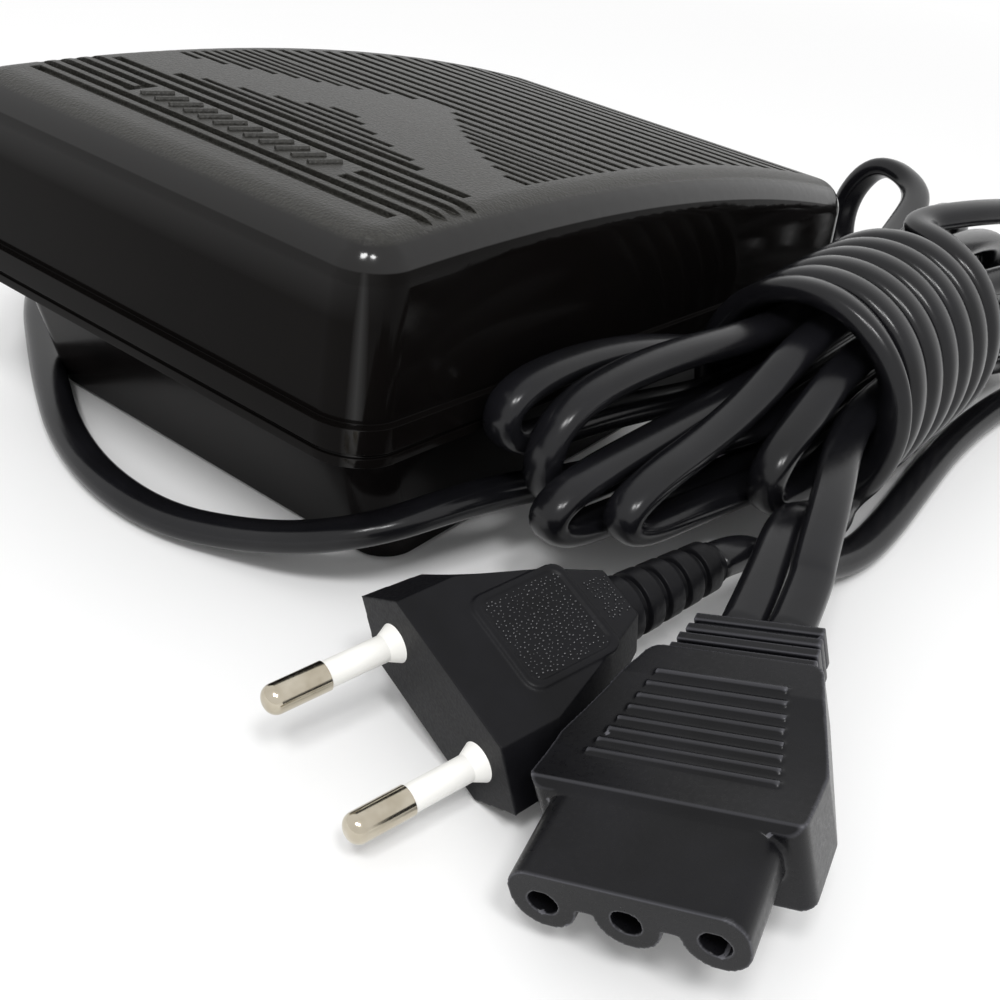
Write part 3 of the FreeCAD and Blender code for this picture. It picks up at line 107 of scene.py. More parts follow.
def make_camera():
    data = bpy.data.cameras.new("camera")
    data.sensor_width = SENSOR_MM
    data.lens = FOCAL_PIXELS / IMAGE_PIXELS * SENSOR_MM
    data.clip_start = 0.01
    camera = bpy.data.objects.new("camera", data)
    bpy.context.scene.collection.objects.link(camera)
    ahead = Vector((math.sin(CAMERA_YAW) * math.cos(CAMERA_PITCH_DOWN),
                    math.cos(CAMERA_YAW) * math.cos(CAMERA_PITCH_DOWN), -math.sin(CAMERA_PITCH_DOWN)))
    level = Vector((math.cos(CAMERA_YAW), -math.sin(CAMERA_YAW), 0))
    above = level.cross(ahead)
    right = level * math.cos(CAMERA_ROLL) + above * math.sin(CAMERA_ROLL)
    up = above * math.cos(CAMERA_ROLL) - level * math.sin(CAMERA_ROLL)
    turn = Matrix((right, up, -ahead)).transposed()
    camera.matrix_world = Matrix.Translation(CAMERA_PLACE) @ turn.to_4x4()
    bpy.context.scene.camera = camera
    return camera


camera = make_camera()
print("camera lens", round(camera.data.lens, 2), "mm")

# %% [markdown]
# ## Where the fittings lie
# The plug and the connector are drawn lying level with their front at Y zero. Each is then rolled, tipped
# and turned into its place, and the same three steps put the cord's end in the middle of its fitting.

# %% Places of the plug and the connector
PLUG = {"origin": (-73.0, 88.4), "axis_z": 10.3, "yaw": 13.5, "pitch": -5.0, "roll": -18.3}
PLUG_BACK, PLUG_RUN_OUT = 49.0, 5.5
CONNECTOR = {"origin": (-110.0, 101.0), "axis_z": 11.2, "yaw": -13.5, "pitch": -8.2, "roll": 17.5}
CONNECTOR_BACK, COLLAR_CENTRE_Z, CONNECTOR_RUN_IN = 49.0, -1.6, 12.0
LEAD_SPREAD = 3.2


def placed_point(x, y, z, pose):
    roll, pitch, yaw = (math.radians(pose[name]) for name in ("roll", "pitch", "yaw"))
    x, z = x * math.cos(roll) + z * math.sin(roll), z * math.cos(roll) - x * math.sin(roll)
    y, z = y * math.cos(pitch) - z * math.sin(pitch), y * math.sin(pitch) + z * math.cos(pitch)
    x, y = x * math.cos(yaw) + y * math.sin(yaw), y * math.cos(yaw) - x * math.sin(yaw)
    return (pose["origin"][0] + x, pose["origin"][1] + y, pose["axis_z"] + z)


def lead_entry(side):
    """Both leads share the connector's collar, one on each side of its middle."""
    return [placed_point(side * LEAD_SPREAD, -CONNECTOR_BACK - reach, COLLAR_CENTRE_Z, CONNECTOR)
            for reach in (CONNECTOR_RUN_IN, 0)]


plug_end = [placed_point(0, -PLUG_BACK - reach, 0, PLUG) for reach in (0, PLUG_RUN_OUT)]
print("mains lead leaves its plug at", [round(v, 1) for v in plug_end[0]])

# %% [markdown]
# ## Cord routes
# Both leads are twin flex. The pedal lead leaves the pedal's far side and runs round the toe on the floor
# to the bundle, and the mains lead runs in low on the outside. A simulation would never settle into this
# one bundle, so all points, in millimetres, are chosen along what the photograph shows.

# %% The free stretches of both leads
ENTRY = (61.56, 20.0, 9.0)
PEDAL_LEAD = [
    (71.0, 20.0, 8.6), (76.0, 28.5, 4.2), (71.5, 41.0, 2.5), (61.5, 50.3, 2.6), (48.5, 58.6, 2.5),
    (33.5, 67.8, 2.6), (18.0, 76.0, 2.5), (2.5, 80.4, 2.6), (-11.5, 80.2, 2.7), (-24.0, 76.6, 4.6),
    (-35.4, 73.9, 8.6), (-44.6, 67.8, 12.4), (-48.3, 56.2, 13.3), (-51.0, 46.0, 13.0)]
FOLDS_LEAD_IN = [(-53.0, 34.5, 10.5), (-58.0, 17.0, 9.3)]
PEDAL_TAIL = [(-87.8, 10.0, 23.2), (-93.4, 25.0, 22.9), (-98.2, 39.0, 20.4)]
MAINS_LEAD = [(-87.4, 26.5, 10.2), (-90.8, 15.5, 4.7)]
MAINS_LOW = [(-93.2, 4.0, 2.6), (-93.0, -9.0, 2.5), (-91.2, -27.0, 2.6), (-89.4, -46.0, 2.5),
             (-89.6, -66.0, 2.6)]
MAINS_TAIL = [(-88.8, 6.5, 7.6), (-88.2, 16.0, 13.6), (-88.9, 28.0, 18.2)]
print("free stretches have", len(PEDAL_LEAD), "and", len(MAINS_LEAD) + len(MAINS_LOW), "points")

# %% [markdown]
# ## Folds of the bundle
# The pedal lead folds five times beside the pedal and passes out along the bundle's outer side, and the
# mains lead folds once. A real fold is an arc with almost straight ends, so three to six points for each
# fold are enough, and their order gives the way that the lead takes round it.

# %% Points of the folds
TOE_FOLDS = [
    [(-53.2, 24.0, 31.5), (-51.4, 51.0, 32.5), (-51.4, 50.5, 22.0), (-54.2, 28.0, 21.2)],
    [(-59.8, 26.0, 32.2), (-57.8, 48.0, 29.5), (-57.8, 48.0, 14.0), (-61.0, 27.0, 14.5)],
    [(-66.6, 24.0, 23.0), (-64.0, 54.5, 21.5), (-64.0, 53.5, 13.4), (-67.2, 28.0, 11.6)],
    [(-73.2, 19.0, 25.0), (-71.2, 46.0, 20.8), (-71.2, 45.0, 13.6), (-74.2, 24.0, 12.6)],
    [(-80.8, 8.0, 26.5), (-81.3, 21.0, 21.4), (-81.3, 20.0, 13.4), (-83.4, 8.0, 13.2)]]
HEEL_FOLDS = [
    [(-55.4, -79.0, 7.4), (-38.0, -101.0, 8.0), (-33.5, -104.0, 22.0), (-40.0, -104.0, 34.0),
     (-53.0, -100.0, 31.0), (-57.0, -78.0, 27.5)],
    [(-62.5, -80.0, 15.5), (-60.0, -108.0, 6.0), (-60.0, -108.0, 27.0), (-62.5, -82.0, 32.5)],
    [(-69.5, -78.0, 9.0), (-66.5, -103.0, 5.0), (-66.5, -103.0, 24.0), (-68.5, -80.0, 25.0)],
    [(-74.5, -78.0, 4.2), (-73.0, -98.0, 3.2), (-73.0, -98.0, 27.0), (-72.5, -76.0, 32.0)],
    [(-80.5, -76.0, 4.5), (-79.5, -94.0, 3.2), (-79.5, -94.0, 20.0), (-82.0, -74.0, 22.5)],
    [(-92.5, -88.0, 3.2), (-92.5, -88.0, 28.0), (-88.0, -72.0, 32.0)],
    [(-86.0, -78.0, 9.0), (-86.0, -101.0, 4.0), (-86.0, -101.0, 33.0), (-80.0, -84.0, 39.0)]]
print(len(TOE_FOLDS), "folds at the toe and", len(HEEL_FOLDS), "at the heel")

# %% [markdown]
# Every strand runs through a narrow waist, where the binding holds it. Each keeps its own place on a ring
# there, low on its way to the heel and high on its way back, with two strands nearer to the middle. Places
# on a ring are easier to keep clear of each other than free points are.

# %% Lead the strands through the waist
WAIST_TOE_Y, WAIST_HEEL_Y = -3.0, -50.0
WAIST_X, WAIST_Z = -73.0, 21.4
WAIST_DRIFT_X, WAIST_DRIFT_Z = 0.2, 0.3
RING_HALF_WIDTH, RING_HALF_HEIGHT, INNER_SHARE = 11.6, 12.0, 0.4
PEDAL_LOW = [(-45, 1.0), (-15, 1.0), (-80, INNER_SHARE), (-85, 1.0), (-120, 1.0)]
PEDAL_HIGH = [(20, 1.0), (55, 1.0), (35, INNER_SHARE), (92, 1.0), (172, 1.0)]
MAINS_HIGH_DEG, MAINS_LOW_DEG = 130, -152


def ring_place(angle_deg, share=1.0):
    angle = math.radians(angle_deg)
    return (WAIST_X + RING_HALF_WIDTH * share * math.cos(angle),
            WAIST_Z + RING_HALF_HEIGHT * share * math.sin(angle))


def through_waist(place, to_heel):
    x, z = place
    middle = (WAIST_TOE_Y + WAIST_HEEL_Y) / 2
    points = [(x, WAIST_TOE_Y, z), (x + WAIST_DRIFT_X, middle, z + WAIST_DRIFT_Z), (x, WAIST_HEEL_Y, z)]
    return points if to_heel else points[::-1]


def pedal_folds():
    points = list(FOLDS_LEAD_IN)
    for n, (low, high) in enumerate(zip(PEDAL_LOW, PEDAL_HIGH)):
        points += through_waist(ring_place(*low), True) + HEEL_FOLDS[n]
        points += through_waist(ring_place(*high), False)
        if n + 1 < len(PEDAL_LOW):
            points += TOE_FOLDS[n]
    return points


def mains_folds():
    points = MAINS_LOW + HEEL_FOLDS[-2] + through_waist(ring_place(MAINS_HIGH_DEG), False)
    return points + TOE_FOLDS[-1] + through_waist(ring_place(MAINS_LOW_DEG), True) + HEEL_FOLDS[-1]


print("the folds have", len(pedal_folds()), "and", len(mains_folds()), "points")

# %% [markdown]
# ## Turns that bind the bundle
# The mains lead ends its way by binding the bundle with six turns side by side. A helix of twelve corners a
# turn follows a rule, so a loop lays it. Its corners stand out by what the smooth curve will cut off them.
# With the ends in the connector, both routes are whole.

# %% Binding turns and whole routes
WRAP_TURNS, WRAP_CORNERS, WRAP_PITCH = 6, 12, 7.0
WRAP_EXTRA_CORNERS = 5
WRAP_START_Y = -46.0
WRAP_HALF_WIDTH, WRAP_HALF_HEIGHT = 17.9, 18.3
WRAP_LEAD_IN = [(-73.5, -68.0, 40.0), (-66.5, -54.0, 38.6)]


def wrap_spot(number):
    angle = math.radians(90 + (number + 0.5) * 360 / WRAP_CORNERS)
    grow = 1 / math.cos(math.pi / WRAP_CORNERS)
    return (WAIST_X + WRAP_HALF_WIDTH * grow * math.cos(angle),
            WRAP_START_Y + WRAP_PITCH * number / WRAP_CORNERS,
            WAIST_Z + WRAP_HALF_HEIGHT * grow * math.sin(angle))


wraps = [wrap_spot(n) for n in range(WRAP_TURNS * WRAP_CORNERS + WRAP_EXTRA_CORNERS)]
pedal_route = [ENTRY] + PEDAL_LEAD + pedal_folds() + PEDAL_TAIL + lead_entry(-1)
mains_route = plug_end + MAINS_LEAD + mains_folds() + WRAP_LEAD_IN + wraps + MAINS_TAIL + lead_entry(1)
mains_route.reverse()
print("route points", len(pedal_route), len(mains_route))

# %% [markdown]
# ## Sweeping a flat cord
# Twin flex is a flat oval, wider than it is thick. A curve's own bevel would twist such a section at the
# folds, so only the smooth line is taken from Blender's curve, and the section is carried along it by hand.

# %% Read a smooth line past the points
CORD_SMOOTHNESS = 10


def read_line(name, points_mm):
    data = bpy.data.curves.new(name + "_line", "CURVE")
    data.dimensions = "3D"
    data.resolution_u = CORD_SMOOTHNESS
    spline = data.splines.new("NURBS")
    spline.points.add(len(points_mm) - 1)
    for point, place in zip(spline.points, points_mm):
        point.co = (*(Vector(place) * MM), 1)
    spline.order_u = 3
    spline.use_endpoint_u = True
    carrier = bpy.data.objects.new(name + "_line", data)
    bpy.context.scene.collection.objects.link(carrier)
    graph = bpy.context.evaluated_depsgraph_get()
    mesh = bpy.data.meshes.new_from_object(carrier.evaluated_get(graph))
    line = [v.co.copy() for v in mesh.vertices]
    bpy.data.objects.remove(carrier)
    bpy.data.meshes.remove(mesh)
    return line


pedal_line = read_line("pedal_flex", pedal_route)
mains_line = read_line("mains_flex", mains_route)
print("points along the lines", len(pedal_line), len(mains_line))

# %% [markdown]
# The section is carried without twist, as flex does when it is laid down, and at each step it eases a
# little towards lying on its wide side. Rings of points become a skin of quads with a cap on each end, and
# the normals are made to point outwards.

# %% Carry a flat oval along a line
CORD_WIDTH_MM, CORD_THICK_MM = 6.2, 4.3
CORD_SIDES = 20
OVAL_POWER = 2.5
EASE_PER_STEP = 0.12


def flat_oval(width, thick):
    """Points of a flat oval, wide along the first axis."""
    ring = []
    for n in range(CORD_SIDES):
        angle = 2 * math.pi * n / CORD_SIDES
        c, s = math.cos(angle), math.sin(angle)
        ring.append((math.copysign(abs(c) ** (2 / OVAL_POWER), c) * width / 2,
                     math.copysign(abs(s) ** (2 / OVAL_POWER), s) * thick / 2))
    return ring


def skinned(name, verts, sides):
    """A mesh object from rings of points, one after another, closed at both ends."""
    last = len(verts) - sides
    faces = [(start + k, start + (k + 1) % sides, start + sides + (k + 1) % sides, start + sides + k)
             for start in range(0, last, sides) for k in range(sides)]
    faces += [tuple(reversed(range(sides))), tuple(range(last, last + sides))]
    mesh = bpy.data.meshes.new(name)
    mesh.from_pydata(verts, [], faces)
    mesh.update()
    bm = bmesh.new()
    bm.from_mesh(mesh)
    bmesh.ops.recalc_face_normals(bm, faces=bm.faces)
    bm.to_mesh(mesh)
    bm.free()
    mesh.shade_smooth()
    piece = bpy.data.objects.new(name, mesh)
    bpy.context.scene.collection.objects.link(piece)
    return piece


def sweep(name, line, ring, across):
    """Skin a ring carried along a line; returns the piece and the length of the line."""
    verts = []
    for i, spot in enumerate(line):
        ahead = (line[min(i + 1, len(line) - 1)] - line[max(i - 1, 0)]).normalized()
        level = ahead.cross(Vector((0, 0, 1)))
        across = across + level * math.copysign(EASE_PER_STEP, level.dot(across))
        across = (across - ahead * across.dot(ahead)).normalized()
        over = ahead.cross(across)
        verts += [spot + across * a + over * b for a, b in ring]
    return skinned(name, verts, len(ring)), sum((b - a).length for a, b in zip(line, line[1:]))


section = flat_oval(CORD_WIDTH_MM * MM, CORD_THICK_MM * MM)
print("section of", len(section), "points")

# %% [markdown]
# Both leads lie still while the treadle moves, so they ride on the base. They stand for the round tubes
# that the solids have in their place.

# %% Make the two leads
pedal_flex, pedal_length = sweep("pedal_flex", pedal_line, section, Vector((0, 1, 0)))
mains_flex, mains_length = sweep("mains_flex", mains_line, section, Vector((1, 0, 0)))
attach(pedal_flex, "root")
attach(mains_flex, "root")
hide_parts("pedal_lead", "pedal_lead_folds", "pedal_lead_end")
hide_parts("mains_lead", "mains_lead_folds", "mains_lead_wraps", "mains_lead_end")
print("pedal lead", round(pedal_length, 3), "m, mains lead", round(mains_length, 3), "m")

# %% [markdown]
# ## Rounding the moulded corners
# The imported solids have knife-sharp corners, and hard moulded plastic has corners of about a tenth of a
# millimetre, which catch the light. A live Bevel modifier would trip over the solids' loose triangles, so
# each shell that shows is copied, its doubled points and flat triangles are merged, and its sharp edges are
# bevelled.

# %% Rounded cover and base
DOUBLES_MM = 0.003
FLAT_DEG, SMOOTH_DEG = 0.4, 40


def fresh_mesh(name):
    """A copy of a node's mesh without its stored normals, which belong to its old corners."""
    mesh = nodes[name].data.copy()
    if "custom_normal" in mesh.attributes:
        mesh.attributes.remove(mesh.attributes["custom_normal"])
    return mesh


def shell_object(name, mesh):
    piece = bpy.data.objects.new(name + "_shell", mesh)
    bpy.context.scene.collection.objects.link(piece)
    return piece


def apply_modifiers(piece):
    graph = bpy.context.evaluated_depsgraph_get()
    piece.data = bpy.data.meshes.new_from_object(piece.evaluated_get(graph))
    piece.modifiers.clear()


def rounded_copy(name, width_mm, body, corner_deg=32):
    """A copy of a node with its sharp corners rounded, which then stands for it."""
    mesh = fresh_mesh(name)
    bm = bmesh.new()
    bm.from_mesh(mesh)
    bmesh.ops.remove_doubles(bm, verts=bm.verts, dist=DOUBLES_MM * MM)
    bmesh.ops.dissolve_limit(bm, angle_limit=math.radians(FLAT_DEG), verts=bm.verts, edges=bm.edges)
    corner = math.radians(corner_deg)
    sharp = [e for e in bm.edges if len(e.link_faces) == 2 and e.calc_face_angle() > corner]
    bmesh.ops.bevel(bm, geom=sharp, offset=width_mm * MM, segments=2, profile=0.5, affect="EDGES")
    bm.to_mesh(mesh)
    bm.free()
    mesh.shade_smooth()
    mesh.set_sharp_from_angle(angle=math.radians(SMOOTH_DEG))
    piece = shell_object(name, mesh)
    piece.modifiers.new("even_light", "WEIGHTED_NORMAL").keep_sharp = True
    apply_modifiers(piece)
    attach(piece, body)
    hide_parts(name)
    print(piece.name, len(piece.data.polygons), "faces")
    return piece


cover_shell = rounded_copy("treadle_cover", 0.14, "treadle")
tub_shell = rounded_copy("base_tub", 0.2, "root")

# %% [markdown]
# The plug and the connector are soft PVC, whose corners come out of the mould rounder than those of the
# hard shells. Each is turned level, rebuilt from fine cells with the Remesh modifier and smoothed a few
# times, and turned back, because cells that lie along its faces leave no steps in them. The strain relief
# has rounded ribs already, so only its steeper corners are bevelled.

# %% Softened plug and connector
CELL_MM = 0.22


def pose_matrix(pose):
    """A fitting's place as a matrix, from the same roll, pitch and yaw as its points."""
    turn = (Matrix.Rotation(-math.radians(pose["yaw"]), 4, "Z")
            @ Matrix.Rotation(math.radians(pose["pitch"]), 4, "X")
            @ Matrix.Rotation(math.radians(pose["roll"]), 4, "Y"))
    return Matrix.Translation(Vector((*pose["origin"], pose["axis_z"])) * MM) @ turn


def softened_copy(name, pose, rounds=3):
    """A copy of a fitting rebuilt from fine cells in its own level frame and smoothed."""
    mesh = fresh_mesh(name)
    mesh.transform(pose_matrix(pose).inverted())
    piece = shell_object(name, mesh)
    cells = piece.modifiers.new("cells", "REMESH")
    cells.mode, cells.voxel_size = "VOXEL", CELL_MM * MM
    smooth = piece.modifiers.new("smooth", "SMOOTH")
    smooth.factor, smooth.iterations = 0.5, rounds
    apply_modifiers(piece)
    piece.data.transform(pose_matrix(pose))
    piece.data.shade_smooth()
    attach(piece, "root")
    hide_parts(name)
    print(piece.name, len(piece.data.polygons), "faces")
    return piece


plug_shell = softened_copy("plug_body", PLUG)
relief_shell = rounded_copy("plug_strain_relief", 0.1, "root", corner_deg=45)
connector_shell = softened_copy("connector_body", CONNECTOR, rounds=2)
collar_shell = softened_copy("connector_collar", CONNECTOR)

# %% [markdown]
# ## Return springs
# Each return spring stands on a post of the base and fits round a post of the treadle. Each is copied in its
# place, and the copy stands for the model's spring.


def giving_spring(name):
    """A copy of a spring in its place, which stands for the model's spring."""
    piece = bpy.data.objects.new(name + "_wire", nodes[name].data.copy())
    bpy.context.scene.collection.objects.link(piece)
    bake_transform(piece)
    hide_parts(name)
    return piece


springs = [giving_spring(name) for name in ("return_spring_left", "return_spring_right")]
print(len(springs), "springs give with the treadle")

# %% [markdown]
# ## Materials
# Nearly everything that shows is black plastic, so the finishes have to tell the pieces apart: the satin,
# spark-eroded crown of the treadle, its polished walls, the soft PVC of the leads and the harder PVC of the
# plug. Each material is worked out in object coordinates, so that its grain has its real size and stays on
# its piece. Noise keeps mostly to the middle of its range, so the wide and the narrow spread say which part
# of it is stretched over the whole of a finish.

# %% Start a material
WIDE_SPREAD, NARROW_SPREAD = (0.3, 0.7), (0.35, 0.65)
NOISE_ROUGHNESS = 0.55


def new_material(name):
    material = bpy.data.materials.new(name)
    material.use_nodes = True
    tree = material.node_tree
    place = add(tree, "ShaderNodeTexCoord").outputs["Object"]
    return material, tree, tree.nodes["Principled BSDF"], place


def scale_for(size_mm):
    """The Scale at which the lumps of a pattern have a size in millimetres."""
    return 1 / (size_mm * MM)


print("lumps of 1 mm need a Scale of", round(scale_for(1.0)))

# %% [markdown]
# A moulded plastic is nearly even in colour. What tells two of them apart is the mould: how fine it was
# ground and how glossy it left the skin. Corners can also be painted paler, a painted highlight on what
# sticks out; they are found with the mesh's own Pointiness, which needs the close points of a softened copy.

# %% A moulded plastic
DRIFT_MM = 14.0
ROUGHNESS_SWING = 0.15
# Pointiness over which the painted edge highlight fades in
EDGE_HIGHLIGHT_FROM_TO = (0.51, 0.57)
PLASTIC_IOR = 1.5


def moulded_plastic(name, dark, pale, roughness, grain_mm, bump_mm, level=0.5, coat=0.0, edge=None):
    """Plastic from a mould: nearly even colour, with the mould's grain in its gloss and its relief.

    With an edge colour, the ridges and corners that stick out are painted paler, a painted highlight."""
    material, tree, shader, place = new_material(name)
    drift = add(tree, "ShaderNodeTexNoise", {"Vector": place, "Scale": scale_for(DRIFT_MM), "Detail": 3.0,
                                             "Roughness": NOISE_ROUGHNESS}).outputs["Fac"]
    drift = add(tree, "ShaderNodeMapRange", [drift, *NARROW_SPREAD, 0, 1]).outputs[0]
    colour = add(tree, "ShaderNodeMix", {"Factor": drift, "A": linear(dark), "B": linear(pale)},
                 data_type="RGBA").outputs["Result"]
    if edge:
        # Painted highlight: what sticks out is mixed towards the paler edge colour.
        pointed = add(tree, "ShaderNodeNewGeometry").outputs["Pointiness"]
        edge_highlight = add(tree, "ShaderNodeMapRange", [pointed, *EDGE_HIGHLIGHT_FROM_TO, 0, 1]).outputs[0]
        colour = add(tree, "ShaderNodeMix", {"Factor": edge_highlight, "A": colour, "B": linear(edge)},
                     data_type="RGBA").outputs["Result"]
    grain = add(tree, "ShaderNodeTexNoise", {"Vector": place, "Scale": scale_for(grain_mm), "Detail": 2.0,
                                             "Roughness": NOISE_ROUGHNESS}).outputs["Fac"]
    gloss = add(tree, "ShaderNodeMapRange", [grain, *WIDE_SPREAD, roughness * (1 - ROUGHNESS_SWING),
                                             roughness * (1 + ROUGHNESS_SWING)]).outputs[0]
    relief = add(tree, "ShaderNodeBump", {"Height": grain, "Distance": bump_mm * MM,
                                          "Strength": 1.0}).outputs[0]
    fill(tree, shader, {"Base Color": colour, "Roughness": gloss, "Normal": relief, "IOR": PLASTIC_IOR,
                        "Specular IOR Level": level, "Coat Weight": coat})
    return material


print("noise drifts over", DRIFT_MM, "mm in every moulded plastic")

# %% [markdown]
# Six finishes of the outside come from it. Their colours differ by hardly more than a shade, and their
# gloss, grain and relief do the rest, so those are what was matched to the photograph.

# %% Black plastics and rubber
# The base is polished ABS in the cover's shade: it hardly mirrors anything, and reads as a dark step.
base_abs = moulded_plastic("polished_black_abs", "#0a0909", "#110f0f", 0.16, 2.4, 0.001, level=0.05)
# Extruded flex has a smooth skin, and long soft highlights run along every strand.
flex_pvc = moulded_plastic("extruded_black_pvc", "#0d0d0f", "#141417", 0.22, 0.7, 0.004, level=0.32)
# The plug comes from a sanded mould, which spreads its highlights into a broad sheen.
plug_pvc = moulded_plastic("moulded_black_pvc", "#0b0b0d", "#131316", 0.42, 0.45, 0.02, level=0.14)
# The stipple's grains are glossy and painted paler than the plug, a painted highlight, so each shows a bright
# point.
stipple_pvc = moulded_plastic("glinting_stipple_pvc", "#1b1b1e", "#232327", 0.24, 0.5, 0.004, level=0.8)
# The connector is satin, and its ribs and corners get a painted highlight in a paler grey.
connector_pvc = moulded_plastic("satin_moulded_pvc", "#0b0b0d", "#131316", 0.3, 0.6, 0.008, level=0.2,
                                edge="#55555a")
# Rubber is matt and a little greyer than the plastics.
foot_rubber = moulded_plastic("moulded_foot_rubber", "#121212", "#1c1c1c", 0.8, 0.5, 0.03, level=0.3)
print("made", base_abs.name, flex_pvc.name, plug_pvc.name, "and three more")

# %% [markdown]
# The cover is one moulding with two finishes. The flat of its crown is spark-eroded satin, and the rounded
# edge and the walls are polished. The walls mirror far less than the edge above them, painted shade that
# keeps them deeper black, and that line follows the long arc of the crown. Painting a mask would tie it to
# one mesh, so the shader works out the arc from the length coordinate, as the solid does, and compares each
# point's height with it.

# %% Where the cover's finishes are
CROWN_HEIGHT, CROWN_RADIUS, CROWN_PEAK_Y = 57.0, 528.0, 77.0
CORNER_X, CORNER_Y = 40.0, 70.25
# The painted highlight streak runs down the rounding of each front corner at this angle and half width.
STREAK_MIDDLE_ANGLE, STREAK_HALF_WIDTH = math.radians(46.0), math.radians(17.0)


def depth_under_crown(tree, y, z):
    """How far a point is under the crown's arc."""
    from_peak = add(tree, "ShaderNodeMath", [y, CROWN_PEAK_Y * MM], operation="SUBTRACT").outputs[0]
    square = add(tree, "ShaderNodeMath", [from_peak, from_peak], operation="MULTIPLY").outputs[0]
    rest = add(tree, "ShaderNodeMath", [(CROWN_RADIUS * MM) ** 2, square], operation="SUBTRACT").outputs[0]
    arc = add(tree, "ShaderNodeMath", [rest], operation="SQRT").outputs[0]
    centre_z = (CROWN_HEIGHT - CROWN_RADIUS) * MM
    crown = add(tree, "ShaderNodeMath", [arc, centre_z], operation="ADD").outputs[0]
    return add(tree, "ShaderNodeMath", [crown, z], operation="SUBTRACT").outputs[0]


# A painted highlight: a band down each front corner's rounding that mirrors more strongly.
def corner_highlight_streak(tree, x, y):
    """1 in the middle of the rounding of a front corner, and 0 some degrees to each side of it."""
    along = add(tree, "ShaderNodeMath", [y, CORNER_Y * MM], operation="SUBTRACT").outputs[0]
    sideways = add(tree, "ShaderNodeMath", [x], operation="ABSOLUTE").outputs[0]
    outwards = add(tree, "ShaderNodeMath", [sideways, CORNER_X * MM], operation="SUBTRACT").outputs[0]
    angle = add(tree, "ShaderNodeMath", [along, outwards], operation="ARCTAN2").outputs[0]
    off = add(tree, "ShaderNodeMath", [angle, STREAK_MIDDLE_ANGLE], operation="SUBTRACT").outputs[0]
    off = add(tree, "ShaderNodeMath", [off], operation="ABSOLUTE").outputs[0]
    return add(tree, "ShaderNodeMapRange", [off, STREAK_HALF_WIDTH, 0, 0, 1]).outputs[0]


print("the crown's arc has a radius of", CROWN_RADIUS, "mm")

# %% [markdown]
# With those places known, the two finishes are mixed. Spark erosion leaves fine pits and a faint brown
# black, and polishing leaves swirls that only show in the gloss. A band down the rounding of each front
# corner mirrors more strongly, a painted highlight streak. The erosion is drawn a little coarser than the
# real one, so that it shows.

# %% The cover's two finishes
# Where the finishes change over, in millimetres under the crown's arc
SATIN_FADE, WALL_FADE, TOE_WALL_FADE = (1.6, 0.8), (4.4, 4.2), (11.18, 1.0)
TOE_FADE_START_Y, TOE_FADE_END_Y = 70.0, 77.0
# Painted shade and highlight: the walls mirror least, the edge most, and the corner streaks between.
WALL_SHINE, EDGE_SHINE, STREAK_SHINE = 0.045, 0.42, 0.34
EROSION_MM, PIT_MM, SWIRL_MM, TINT_MM = 0.42, 0.5, 2.2, 18.0
SWIRL_STRETCH = (1.0, 0.35, 1.0)
SATIN_ROUGHNESS, GLOSS_ROUGHNESS = (0.36, 0.5), (0.08, 0.14)
SATIN_BUMP_MM = 0.07


def cover_shine(tree, x, y, depth):
    """How strongly the polished parts mirror: the edge most, the walls least, the painted corner streaks
    between.
    """
    toe = add(tree, "ShaderNodeMapRange", [y, TOE_FADE_START_Y * MM, TOE_FADE_END_Y * MM, 0, 1]).outputs[0]
    side_wall, toe_wall = (add(tree, "ShaderNodeMapRange", [depth, low * MM, high * MM, 0, 1]).outputs[0]
                           for low, high in (WALL_FADE, TOE_WALL_FADE))
    edge = add(tree, "ShaderNodeMix", {"Factor": toe, "A": side_wall, "B": toe_wall}).outputs["Result"]
    plain = add(tree, "ShaderNodeMapRange", [edge, 0, 1, WALL_SHINE, EDGE_SHINE]).outputs[0]
    # The painted highlight streak down the front corners.
    corner_streak = corner_highlight_streak(tree, x, y)
    corner_streak = add(tree, "ShaderNodeMath", [corner_streak, STREAK_SHINE], operation="MULTIPLY").outputs[0]
    return add(tree, "ShaderNodeMath", [plain, corner_streak], operation="MAXIMUM").outputs[0]


